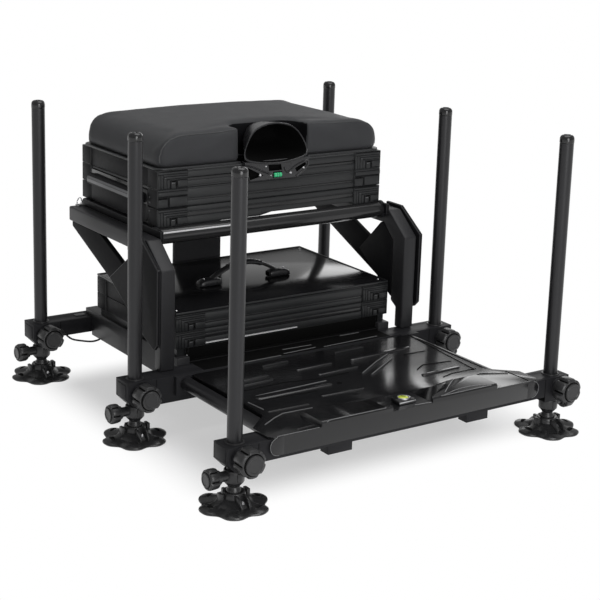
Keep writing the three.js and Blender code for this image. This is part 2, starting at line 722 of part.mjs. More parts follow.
function trayBody(halfWidth, ys, bottom, layerHeight, layers) {
  const top = bottom + layerHeight * layers;
  const coreHalf = halfWidth - CORNER_PROUD;
  const coreYs = [ys[0] + CORNER_PROUD, ys[1] - CORNER_PROUD];
  let body = box([-coreHalf, coreHalf], coreYs, [bottom, top]);
  for (let layer = 0; layer < layers; layer += 1) {
    const middle = bottom + (layer + 1 / 2) * layerHeight;
    const zs = [middle - GROOVE_WIDTH / 2, middle + GROOVE_WIDTH / 2];
    body = body.subtract(ringCut(coreHalf, coreYs, zs, GROOVE_DEPTH));
  }
  for (const side of [-1, 1]) {
    const across = sideRange(side, halfWidth - CORNER_WIDTH, halfWidth);
    body = body.add(box(across, [ys[0], ys[0] + CORNER_DEPTH], [bottom, top]));
    body = body.add(box(across, [ys[1] - CORNER_DEPTH, ys[1]], [bottom, top]));
  }
  for (let seam = 1; seam < layers; seam += 1) {
    const height = bottom + seam * layerHeight;
    const zs = [height - CORNER_SEAM / 2, height + CORNER_SEAM / 2];
    body = body.subtract(ringCut(halfWidth, ys, zs, CORNER_PROUD + CORNER_SEAM));
  }
  return body;
}

function trayCavity(halfWidth, ys, bottom, top) {
  const inset = CORNER_PROUD + WALL;
  return box(
    [inset - halfWidth, halfWidth - inset],
    [ys[0] + inset, ys[1] - inset],
    [bottom + FLOOR, top + OVERRUN],
  );
}

function topTray() {
  const body = trayBody(upperHalfWidth, upperYs, trayBottom, UPPER_LAYER_HEIGHT, 1);
  return body.subtract(trayCavity(upperHalfWidth, upperYs, trayBottom, trayTop));
}

// The cabinet has a drawer bay that opens to the left, and a slot under its front over the cross tube
function drawerCabinet() {
  const body = trayBody(upperHalfWidth, upperYs, upperBottom, UPPER_LAYER_HEIGHT, 2);
  const slotEnd = upperHalfWidth - CORNER_WIDTH;
  const slotTop = upperBottom + UNDER_SLOT_RISE;
  const slot = prismY([
    [UNDER_SLOT_START, upperBottom - OVERRUN],
    [slotEnd, upperBottom - OVERRUN],
    [slotEnd, slotTop],
    [UNDER_SLOT_START + UNDER_SLOT_TAPER, slotTop],
    [UNDER_SLOT_START, upperBottom],
  ], [UPPER_FRONT - OVERRUN, UPPER_FRONT + CORNER_DEPTH]);
  const bay = box([-upperHalfWidth - OVERRUN, drawerBayEnd], drawerBayYs, drawerBayZs);
  return body.subtract(bay).subtract(slot);
}

function sideDrawer() {
  const [front, rear] = [drawerBayYs[0] + DRAWER_GAP, drawerBayYs[1] - DRAWER_GAP];
  const floor = drawerBayZs[0] + DRAWER_GAP;
  const faceTop = drawerBayZs[1] - DRAWER_GAP;
  const wallTop = faceTop - DRAWER_FACE_LIP;
  const face = box([-upperHalfWidth, DRAWER_FACE - upperHalfWidth], [front, rear], [floor, faceTop]);
  const tray = box([-upperHalfWidth, drawerBayEnd - DRAWER_GAP], [front, rear], [floor, wallTop]);
  const inside = box(
    [DRAWER_FACE - upperHalfWidth, drawerBayEnd - DRAWER_GAP - DRAWER_WALL],
    [front + DRAWER_WALL, rear - DRAWER_WALL],
    [floor + DRAWER_WALL, wallTop + OVERRUN],
  );
  return tray.add(face).subtract(inside);
}

function sideDrawerHandle() {
  const face = -upperHalfWidth - GAP;
  const tip = face - HANDLE_REACH;
  const middle = (upperYs[0] + upperYs[1]) / 2;
  const top = drawerBayZs[1] - HANDLE_DROP;
  const bottom = top - HANDLE_HEIGHT;
  return prismY([
    [face, bottom],
    [face, top],
    [tip + HANDLE_BEVEL, top],
    [tip, top - HANDLE_BEVEL],
    [tip, bottom],
  ], [middle - HANDLE_LENGTH / 2, middle + HANDLE_LENGTH / 2]);
}

// Seat cushion: a domed loaf with drawn-in lower sides and a U notch in its front edge
function cushionOutline() {
  const edgeTop = cushionBottom + CUSHION_EDGE_HEIGHT;
  const shoulder = upperHalfWidth - CUSHION_EDGE_RADIUS;
  const points = [
    [CUSHION_DRAW_IN - upperHalfWidth, cushionBottom],
    [-upperHalfWidth, cushionBottom + CUSHION_DRAW_IN_HEIGHT],
  ];
  const arcHeight = edgeTop - CUSHION_EDGE_RADIUS;
  points.push(...arc(-shoulder, arcHeight, CUSHION_EDGE_RADIUS, 180, 90, CUSHION_EDGE_STEPS));
  for (let step = 1; step < CUSHION_CROWN_STEPS; step += 1) {
    const across = (2 * step) / CUSHION_CROWN_STEPS - 1;
    points.push([across * shoulder, edgeTop + CUSHION_CROWN * (1 - across * across)]);
  }
  points.push(...arc(shoulder, arcHeight, CUSHION_EDGE_RADIUS, 90, 0, CUSHION_EDGE_STEPS));
  points.push([upperHalfWidth, cushionBottom + CUSHION_DRAW_IN_HEIGHT]);
  points.push([upperHalfWidth - CUSHION_DRAW_IN, cushionBottom]);
  return points;
}

function cushionNotch() {
  const half = NOTCH_WIDTH / 2;
  const back = upperYs[0] + NOTCH_DEPTH - NOTCH_CORNER;
  return prismZ([
    [-half, upperYs[0] - OVERRUN],
    [half, upperYs[0] - OVERRUN],
    ...arc(half - NOTCH_CORNER, back, NOTCH_CORNER, 0, 90, NOTCH_CORNER_STEPS),
    ...arc(NOTCH_CORNER - half, back, NOTCH_CORNER, 90, 180, NOTCH_CORNER_STEPS),
  ], [cushionBottom - OVERRUN, cushionBottom + CUSHION_EDGE_HEIGHT + CUSHION_CROWN + OVERRUN]);
}

function seatCushion() {
  const span = [upperYs[0] + CUSHION_SEAM_BEVEL, upperYs[1] - CUSHION_SEAM_BEVEL];
  const loaf = solid(prismYGeometry(cushionOutline(), span, {
    bevelEnabled: true,
    bevelThickness: CUSHION_SEAM_BEVEL,
    bevelSize: CUSHION_SEAM_BEVEL,
    bevelOffset: -CUSHION_SEAM_BEVEL,
    bevelSegments: 3,
  }));
  const inset = upperHalfWidth - CUSHION_PLAN_CORNER;
  const [front, back] = [upperYs[0] + CUSHION_PLAN_CORNER, upperYs[1] - CUSHION_PLAN_CORNER];
  const plan = prismZ([
    ...arc(inset, back, CUSHION_PLAN_CORNER, 0, 90, NOTCH_CORNER_STEPS),
    ...arc(-inset, back, CUSHION_PLAN_CORNER, 90, 180, NOTCH_CORNER_STEPS),
    ...arc(-inset, front, CUSHION_PLAN_CORNER, 180, 270, NOTCH_CORNER_STEPS),
    ...arc(inset, front, CUSHION_PLAN_CORNER, 270, 360, NOTCH_CORNER_STEPS),
  ], [cushionBottom - OVERRUN, cushionBottom + CUSHION_EDGE_HEIGHT + CUSHION_CROWN + OVERRUN]);
  return loaf.intersect(plan).subtract(cushionNotch());
}

// Pole cup: a hood that narrows and rises to the back, open to the front, on a bracket with a vial
function cupHood(inset, front, back) {
  const mouthWidth = CUP_WIDTH - 2 * inset;
  const mouthHeight = CUP_HEIGHT - 2 * inset;
  const outline = CUP_OUTLINE_SHARES.map(([across, up]) => [across * mouthWidth, up * mouthHeight + inset]);
  const depth = back - front;
  const geometry = new THREE.ExtrudeGeometry(shapeOf(outline), { depth, bevelEnabled: false });
  const place = geometry.getAttribute('position');
  for (let point = 0; point < place.count; point += 1) {
    const [x, up] = [place.getX(point), place.getY(point)];
    const along = back - place.getZ(point);
    const share = along / CUP_LENGTH;
    const narrowing = 1 - (1 - CUP_BACK_SHARE) * share;
    const lean = CUP_LEAN * (up / CUP_HEIGHT) * (1 - share);
    const height = CUP_BOTTOM + up * narrowing + CUP_BACK_RISE * share;
    place.setXYZ(point, x * narrowing, cupMouth + along + lean, height);
  }
  return solid(geometry);
}

function poleCup() {
  const half = CUP_WIDTH / 2;
  const shoulder = CUP_FOOT_TOP - CUP_FOOT_HEIGHT + CUP_FOOT_CORNER;
  const foot = prismY([
    [CUP_FOOT_CORNER - half, CUP_FOOT_TOP - CUP_FOOT_HEIGHT],
    [half - CUP_FOOT_CORNER, CUP_FOOT_TOP - CUP_FOOT_HEIGHT],
    [half, shoulder],
    [half, CUP_FOOT_TOP],
    [-half, CUP_FOOT_TOP],
    [-half, shoulder],
  ], [cupFootFront, cupFootFront + CUP_FOOT_THICKNESS]);
  const bedHalf = VIAL_LENGTH / 2 + GAP;
  const vialBed = rod('x', VIAL_RADIUS + GAP, -bedHalf, bedHalf, vialAxis, SMALL_SIDES);
  const inside = cupHood(CUP_WALL, -OVERRUN, CUP_LENGTH - CUP_WALL);
  return cupHood(0, 0, CUP_LENGTH).add(foot).subtract(inside).subtract(vialBed);
}

function cupLevelVial() {
  return rod('x', VIAL_RADIUS, -VIAL_LENGTH / 2, VIAL_LENGTH / 2, vialAxis, SMALL_SIDES);
}

// Lower unit: two stacked trays on runners, a lid and a carry handle
function lowerBottomTray() {
  const body = trayBody(lowerHalfWidth, lowerYs, lowerBottom, LOWER_LAYER_HEIGHT, 1);
  const parts = [body.subtract(trayCavity(lowerHalfWidth, lowerYs, lowerBottom, lowerMiddle))];
  const runnerYs = [LOWER_FRONT + RUNNER_INSET, LOWER_REAR - RUNNER_INSET];
  const runnerZs = [sideBeamTop + GAP, lowerBottom + FUSE];
  for (const side of [-1, 1]) {
    const across = sideRange(side, lowerHalfWidth - SIDE_BEAM_WIDTH, lowerHalfWidth - RUNNER_INSET);
    parts.push(box(across, runnerYs, runnerZs));
  }
  return union(parts);
}

function lowerTopTray() {
  const bottom = lowerMiddle + GAP;
  const body = trayBody(lowerHalfWidth, lowerYs, bottom, LOWER_LAYER_HEIGHT, 1);
  return body.subtract(trayCavity(lowerHalfWidth, lowerYs, bottom, bottom + LOWER_LAYER_HEIGHT));
}

function lowerLid() {
  return box([-lowerHalfWidth, lowerHalfWidth], lowerYs, [lidBottom, lidTop]);
}

function carryHandle() {
  const base = lidTop + GAP;
  const top = base + CARRY_BLOCK_HEIGHT;
  const half = CARRY_SPAN / 2;
  const ys = [CARRY_Y - CARRY_BLOCK_WIDTH / 2, CARRY_Y + CARRY_BLOCK_WIDTH / 2];
  const anchorX = half - CARRY_BLOCK_LENGTH / 2;
  const anchorZ = top - CARRY_STRAP_RADIUS;
  const parts = [];
  for (const side of [-1, 1]) {
    const inner = half - CARRY_BLOCK_LENGTH;
    const outline = [
      [inner, base],
      [half, base],
      [half, base + CARRY_BLOCK_TOE],
      [half - CARRY_BLOCK_TOE, top],
      [inner + CARRY_BLOCK_TOE, top],
      [inner, base + CARRY_BLOCK_TOE],
    ];
    parts.push(prismY(outline.map(([x, z]) => [CARRY_X + side * x, z]), ys));
  }
  const route = [];
  const rise = CARRY_RISE - CARRY_STRAP_RADIUS - (anchorZ - base);
  for (let step = 0; step <= 2 * CARRY_HALF_POINTS; step += 1) {
    const across = step / CARRY_HALF_POINTS - 1;
    const height = anchorZ + rise * (1 - across * across);
    route.push(new THREE.Vector3(CARRY_X + across * anchorX, CARRY_Y, height));
  }
  parts.push(tubeAlong(route, CARRY_STRAP_RADIUS, SMALL_SIDES, CARRY_STEPS));
  return union(parts);
}

function tubeAlong(route, radius, sides, steps) {
  const section = lobed(radius, 1, 0, sides);
  const extrudePath = new THREE.CatmullRomCurve3(route);
  return solid(new THREE.ExtrudeGeometry(shapeOf(section), { steps, extrudePath, bevelEnabled: false }));
}

// Footplate: rails that slide on the stubs, a deck with a widened front and raised pads, and a level
function footplateRail(side) {
  const axis = [side * PLATE_RAIL_X, PLATE_RAIL_Z];
  const span = [FRONT_ROW + beamHalfDepth + GAP, deckRear];
  const bore = rod('y', PLATE_RAIL_RADIUS - PLATE_RAIL_WALL, span[0] - OVERRUN, span[1] + OVERRUN, axis);
  return rod('y', PLATE_RAIL_RADIUS, ...span, axis).subtract(bore);
}

function footplateDeck() {
  const corner = SKIRT_HALF_WIDTH - LIP_CORNER;
  const rightEdge = [
    [deckHalfWidth, deckRear],
    [deckHalfWidth, SKIRT_START],
    [SKIRT_HALF_WIDTH, SKIRT_FULL],
    [SKIRT_HALF_WIDTH, lipFront + LIP_CORNER],
    [corner, lipFront],
  ];
  const leftEdge = rightEdge.map(([x, y]) => [-x, y]).reverse();
  const parts = [
    prismZ([...rightEdge, ...leftEdge], [deckBottom, deckTop]),
    box([-corner, corner], [lipFront, lipFront + LIP_THICKNESS], [deckTop - LIP_HEIGHT, deckTop]),
  ];
  const humpBack = lipFront + HUMP_DEPTH;
  for (const side of [-1, 1]) {
    parts.push(box(
      sideRange(side, deckHalfWidth - LIP_THICKNESS, deckHalfWidth),
      [SKIRT_START, deckRear],
      [deckBottom - DECK_FLANGE_DROP, deckBottom + FUSE],
    ));
    parts.push(prismX([
      [humpBack, deckTop - FUSE],
      [lipFront, deckTop - FUSE],
      [lipFront, deckTop + HUMP_RISE - LIP_THICKNESS],
      [lipFront + LIP_THICKNESS, deckTop + HUMP_RISE],
      [humpBack - HUMP_RISE, deckTop + HUMP_RISE],
      [humpBack, deckTop],
    ], sideRange(side, HUMP_INNER, HUMP_OUTER)));
  }
  let deck = union(parts);
  for (const x of [-PLATE_RAIL_X, PLATE_RAIL_X]) {
    const channel = [plateBeamBack, SKIRT_START + OVERRUN];
    deck = deck.subtract(rod('y', PLATE_RAIL_RADIUS + GAP, ...channel, [x, PLATE_RAIL_Z]));
  }
  return deck;
}

function footplateLevel() {
  const base = deckTop + GAP;
  const half = LEVEL_WIDTH / 2;
  const ys = [LEVEL_Y - LEVEL_DEPTH / 2, LEVEL_Y + LEVEL_DEPTH / 2];
  const top = base + LEVEL_HEIGHT;
  const housing = box([-half, half], ys, [base, top]);
  const vialTop = top + LEVEL_VIAL_HEIGHT;
  return housing.add(rod('z', LEVEL_VIAL_RADIUS, top - FUSE, vialTop, [0, LEVEL_Y], SMALL_SIDES));
}

function lanyard() {
  const route = CORD_ROUTE.map((point) => new THREE.Vector3(...point));
  return tubeAlong(route, CORD_RADIUS, CORD_SIDES, CORD_STEPS);
}

// The assembly
for (const [rowName, row] of [['rear', REAR_ROW], ['middle', MIDDLE_ROW], ['front', FRONT_ROW]]) {
  addLegStation(`${rowName}_left`, -1, row);
  addLegStation(`${rowName}_right`, 1, row);
}
addPart(assembly, 'base_front_beam', baseFrontBeam(), 'powderCoat');
addPart(assembly, 'base_rear_beam', clampBeam(REAR_ROW, beamTop, REAR_BEAM_RISE), 'powderCoat');
for (const [sideName, side] of [['left', -1], ['right', 1]]) {
  addPart(assembly, `side_beam_${sideName}`, sideBeam(side), 'extrusion');
  addPart(assembly, `side_frame_${sideName}`, sideFrame(side), 'extrusion');
  addPart(assembly, `gusset_${sideName}`, gusset(side), 'powderCoat');
  addPart(assembly, `brace_${sideName}`, brace(side), 'powderCoat');
  addPart(assembly, `footplate_rail_${sideName}`, footplateRail(side), 'satinTube');
}
addPart(assembly, 'front_cross_tube', crossTube(FRONT_TUBE_Y), 'satinTube');
addPart(assembly, 'rear_cross_tube', crossTube(REAR_TUBE_Y), 'satinTube');
addPart(assembly, 'rear_panel', rearPanel(), 'panelFabric');
addPart(assembly, 'seat_cushion', seatCushion(), 'seatVinyl');
addPart(assembly, 'top_tray', topTray(), 'glossPlastic');
addPart(assembly, 'pole_cup', poleCup(), 'cupPlastic');
addPart(assembly, 'cup_level_vial', cupLevelVial(), 'greenVial');
addPart(assembly, 'drawer_cabinet', drawerCabinet(), 'glossPlastic');
addPart(assembly, 'side_drawer', sideDrawer(), 'glossPlastic');
addPart(assembly, 'side_drawer_handle', sideDrawerHandle(), 'greyPlastic');
addPart(assembly, 'lower_top_tray', lowerTopTray(), 'glossPlastic');
addPart(assembly, 'lower_bottom_tray', lowerBottomTray(), 'glossPlastic');
addPart(assembly, 'lower_lid', lowerLid(), 'lidPlastic');
addPart(assembly, 'carry_handle', carryHandle(), 'cupPlastic');
addPart(assembly, 'footplate_deck', footplateDeck(), 'lidPlastic');
addPart(assembly, 'footplate_beam', footplateBeam(), 'powderCoat');
addPart(assembly, 'footplate_level', footplateLevel(), 'yellowVial');
addPart(assembly, 'lanyard', lanyard(), 'cordBlack');

// The origin is under the middle of the part's bounding box, on the ground
const bounds = new THREE.Box3().setFromObject(assembly);
const centre = bounds.getCenter(new THREE.Vector3());
assembly.position.set(-centre.x, -centre.y, -bounds.min.z);

const seatBox = new THREE.Group();
seatBox.add(assembly);
seatBox.updateMatrixWorld(true);

export default seatBox;
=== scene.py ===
# Looks of a fishing seat box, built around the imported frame.
# Shapes are in millimetres in the part's own drawing frame, and are placed in metres.

import math

import bmesh
import bpy
from mathutils import Matrix, Vector
from mathutils.bvhtree import BVHTree


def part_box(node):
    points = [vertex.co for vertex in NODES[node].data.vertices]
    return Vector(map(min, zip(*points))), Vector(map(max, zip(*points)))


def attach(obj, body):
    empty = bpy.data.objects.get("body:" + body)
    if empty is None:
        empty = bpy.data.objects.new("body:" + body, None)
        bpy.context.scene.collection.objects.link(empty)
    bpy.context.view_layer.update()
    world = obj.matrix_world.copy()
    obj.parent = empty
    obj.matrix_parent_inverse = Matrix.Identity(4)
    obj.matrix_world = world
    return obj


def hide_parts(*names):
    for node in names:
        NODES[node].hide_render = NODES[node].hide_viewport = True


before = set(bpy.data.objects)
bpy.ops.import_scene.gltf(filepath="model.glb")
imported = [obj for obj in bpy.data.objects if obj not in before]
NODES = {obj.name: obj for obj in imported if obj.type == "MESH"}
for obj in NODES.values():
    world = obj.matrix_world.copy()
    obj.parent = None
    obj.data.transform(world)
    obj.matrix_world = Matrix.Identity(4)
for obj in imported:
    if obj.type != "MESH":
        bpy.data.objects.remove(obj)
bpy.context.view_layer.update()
SCENE = bpy.context.scene
SCENE.view_settings.view_transform = "Standard"
MM = 0.001
SIDES = {"left": -1, "right": 1}

# The drawing frame has the middle row of legs at y = 0
MIDDLE_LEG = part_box("leg_tube_middle_left")
SHIFT = (MIDDLE_LEG[0].y + MIDDLE_LEG[1].y) / 2


def at(x, y, z):
    return Vector((x * MM, y * MM + SHIFT, z * MM))


def drawn(place):
    return place.x / MM, (place.y - SHIFT) / MM, place.z / MM


def link(name, data):
    obj = bpy.data.objects.new(name, data)
    SCENE.collection.objects.link(obj)
    return obj


# Camera at the photograph's viewing angle
CAMERA_PLACE = (-1490.4, -2177.2, 971.7)
CAMERA_YAW = math.radians(34.48)
CAMERA_PITCH = math.radians(13.84)
CAMERA_ROLL = math.radians(1.70)
CAMERA_FOCAL_SHARE = 1485.2 / 600
CAMERA_SHIFT_Y = -0.1
CAMERA_REACH = 100
SENSOR = 36.0


def make_camera():
    data = bpy.data.cameras.new("camera")
    camera = link("camera", data)
    data.sensor_width = SENSOR
    data.lens = SENSOR * CAMERA_FOCAL_SHARE
    data.shift_y = CAMERA_SHIFT_Y
    data.clip_end = CAMERA_REACH
    level = math.cos(CAMERA_PITCH)
    look = Vector((math.sin(CAMERA_YAW) * level, math.cos(CAMERA_YAW) * level, -math.sin(CAMERA_PITCH)))
    right = Vector((math.cos(CAMERA_YAW), -math.sin(CAMERA_YAW), 0))
    up = right.cross(look)
    turned_right = right * math.cos(CAMERA_ROLL) + up * math.sin(CAMERA_ROLL)
    turned_up = up * math.cos(CAMERA_ROLL) - right * math.sin(CAMERA_ROLL)
    axes = Matrix((turned_right, turned_up, -look)).transposed()
    camera.matrix_world = Matrix.Translation(at(*CAMERA_PLACE)) @ axes.to_4x4()
    SCENE.camera = camera


make_camera()


# Node trees: an input is given by its key, as a value or as the socket that feeds it
def fill(tree, made, inputs):
    for key, value in inputs.items():
        if isinstance(value, bpy.types.NodeSocket):
            tree.links.new(value, made.inputs[key])
        else:
            made.inputs[key].default_value = value


def node(tree, kind, inputs=None, **settings):
    made = tree.nodes.new("ShaderNode" + kind)
    for name, value in settings.items():
        setattr(made, name, value)
    fill(tree, made, inputs or {})
    return made


def compute(tree, operation, *values):
    return node(tree, "Math", dict(enumerate(values)), operation=operation).outputs["Value"]


# Materials
COAT_ROUGHNESS = 0.12
BUMP_STRENGTH = 0.6
LEAST_ROUGHNESS = 0.02
PORE_DEPTH = 2.5
THREAD_WOBBLE = 0.6


def material(name, color, roughness, metallic=0.0, mottle=(30, 0.08), grain=(900, 0.03),
             stretch=(1, 1, 1), cells=None, weave=None, specular=0.5, coat=0.0, sheen=0.0,
             spread=0.06):
    made = bpy.data.materials.new(name)
    made.use_nodes = True
    tree = made.node_tree
    place = node(tree, "TexCoord").outputs["Object"]
    where = node(tree, "Mapping", {"Scale": stretch, "Vector": place}).outputs["Vector"]

    def noise(scale, detail):
        return node(tree, "TexNoise", {"Scale": scale, "Detail": detail, "Vector": where}).outputs["Fac"]

    blotch, amount = mottle
    tint = node(tree, "Mix", {
        0: noise(blotch, 4),
        6: [c * (1 - amount) for c in color] + [1],
        7: [c * (1 + amount) for c in color] + [1],
    }, data_type="RGBA").outputs[2]
    rough = node(tree, "MapRange", {
        "Value": noise(blotch * 3, 5),
        "To Min": max(LEAST_ROUGHNESS, roughness - spread),
        "To Max": roughness + spread,
    }).outputs["Result"]
    fine, depth = grain
    height = noise(fine, 3)
    if cells:
        pores = node(tree, "TexVoronoi", {"Scale": cells, "Vector": where}, feature="DISTANCE_TO_EDGE")
        height = compute(tree, "MULTIPLY_ADD", pores.outputs["Distance"], PORE_DEPTH, height)
    if weave:
        threads = [node(tree, "TexWave", {"Scale": weave, "Distortion": THREAD_WOBBLE, "Vector": where},
                        bands_direction=way).outputs["Fac"] for way in ("X", "Z")]
        height = compute(tree, "MAXIMUM", *threads)
    bump = node(tree, "Bump", {"Strength": BUMP_STRENGTH, "Distance": depth * MM, "Height": height})
    fill(tree, tree.nodes["Principled BSDF"], {
        "Metallic": metallic, "Specular IOR Level": specular, "Coat Weight": coat,
        "Coat Roughness": COAT_ROUGHNESS, "Sheen Weight": sheen, "Base Color": tint,
        "Roughness": rough, "Normal": bump.outputs["Normal"],
    })
    return made


TUBE = material("satin_tube", (0.024, 0.024, 0.026), 0.34, 0.35, grain=(1500, 0.02), stretch=(1, 1, 0.15))
TUBE_GLOSS = material("glossy_tube", (0.026, 0.026, 0.027), 0.16, 0.2, grain=(900, 0.01), stretch=(0.15, 1, 1))
CAP = material("glossy_cap", (0.012, 0.012, 0.013), 0.16, grain=(500, 0.01))
POWDER = material("powder_coat", (0.018, 0.018, 0.020), 0.50, grain=(1400, 0.06), specular=0.14)
EXTRUSION = material("extrusion", (0.025, 0.025, 0.027), 0.42, grain=(1600, 0.02), stretch=(1, 0.15, 1),
                     specular=0.26)
KNOB = material("knob_plastic", (0.030, 0.030, 0.031), 0.34, grain=(1800, 0.07), specular=0.45)
FOOT = material("foot_plastic", (0.027, 0.027, 0.028), 0.30, grain=(1500, 0.06), specular=0.45)
CASE = material("case_plastic", (0.020, 0.021, 0.022), 0.38, grain=(1500, 0.05), specular=0.34)
CASE_GLOSS = material("case_gloss", (0.012, 0.012, 0.013), 0.22, grain=(900, 0.02), stretch=(0.2, 1, 1),
                      specular=0.4)
# A darker copy of the case plastic for sides, backings and strips in shade, painted shade
SHELL_SHADE = material("case_side_painted_shade", (0.007, 0.007, 0.008), 0.52, grain=(1500, 0.05), specular=0.12)
# A darker copy of the powder coat for outer plates, gussets and braces, painted shade
BRACE_SHADE = material("brace_painted_shade", (0.008, 0.008, 0.009), 0.58, grain=(1400, 0.06), specular=0.10)
# Near-black painted shade, laid in grooves, seams, gaps, hollows and under parts where shade falls
PAINTED_SHADE = material("painted_shade_black", (0.003, 0.003, 0.003), 0.8, grain=(1200, 0.05), specular=0.06)
LID = material("lid_sheet", (0.010, 0.010, 0.011), 0.15, grain=(120, 0.002), specular=0.34, spread=0.02)
DECK = material("deck_gloss", (0.010, 0.010, 0.011), 0.19, grain=(500, 0.012), specular=0.5, spread=0.05)
# Light grey strips of painted highlight along edges and ridges
RIDGE_HIGHLIGHT = material("deck_painted_highlight", (0.15, 0.151, 0.154), 0.24, grain=(600, 0.01), spread=0.04)
CUP = material("cup_plastic", (0.024, 0.024, 0.026), 0.28, grain=(1300, 0.04))
CUP_INSIDE_SHADE = material("cup_inside_painted_shade", (0.003, 0.003, 0.003), 0.9, grain=(1300, 0.05), specular=0.05)
VINYL = material("seat_vinyl", (0.046, 0.047, 0.050), 0.50, mottle=(14, 0.10), grain=(2600, 0.14),
                 cells=850, specular=0.18, sheen=0.06)
# Near-black painted shade for the walls of the seat's notch
NOTCH_SHADE = material("seat_notch_painted_shade", (0.006, 0.006, 0.007), 0.7, grain=(2600, 0.10), cells=850, specular=0.06)
PIPING = material("seat_piping", (0.045, 0.046, 0.048), 0.42, grain=(2600, 0.06), cells=1200)
FABRIC = material("panel_fabric", (0.020, 0.020, 0.023), 0.80, grain=(1800, 0.25), weave=260, sheen=0.25)
# Grey for clips, bosses and the pull's name, and also a painted highlight on the top tray's rim
GREY_AND_HIGHLIGHT = material("grey_plastic", (0.060, 0.062, 0.064), 0.42, grain=(1500, 0.05))
# The pull's light grey, shown only where light falls on it, so partly its colour and partly painted highlight
PULL_GREY_AND_HIGHLIGHT = material("pull_grey_and_painted_highlight", (0.15, 0.153, 0.157), 0.38, grain=(1500, 0.05))
# A light strip for a painted highlight along a tube
TUBE_HIGHLIGHT = material("tube_painted_highlight", (0.70, 0.70, 0.71), 0.30, grain=(900, 0.02), stretch=(0.2, 1, 1))
STEEL = material("screw_steel", (0.62, 0.62, 0.63), 0.24, 1.0, grain=(2200, 0.02))
# A pale material for a painted highlight line
PALE_HIGHLIGHT = material("pale_painted_highlight", (0.78, 0.78, 0.79), 0.4, grain=(1500, 0.02))
GREEN = material("green_vial", (0.05, 0.62, 0.26), 0.10, grain=(300, 0.004), coat=0.6)
YELLOW = material("yellow_vial", (0.62, 0.72, 0.05), 0.10, grain=(300, 0.004), coat=0.6)
CORD = material("cord_black", (0.010, 0.010, 0.011), 0.7, grain=(3000, 0.15))

# Angles at which edges count as edges, in degrees
SHARP_ANGLE = 32
BEVEL_ANGLE = 20
COPY_BEVEL_ANGLE = 24
FLAT_ANGLE = 0.8
WELD = 0.005


def turns(count):
    return [2 * math.pi * i / count for i in range(count)]


def evaluated_mesh(obj):
    return bpy.data.meshes.new_from_object(obj.evaluated_get(bpy.context.evaluated_depsgraph_get()))


# A piece rides on its body and stands for at most one solid
def dress(obj, body, stands_for=None):
    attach(obj, body)
    if stands_for:
        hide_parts(stands_for)
    return obj


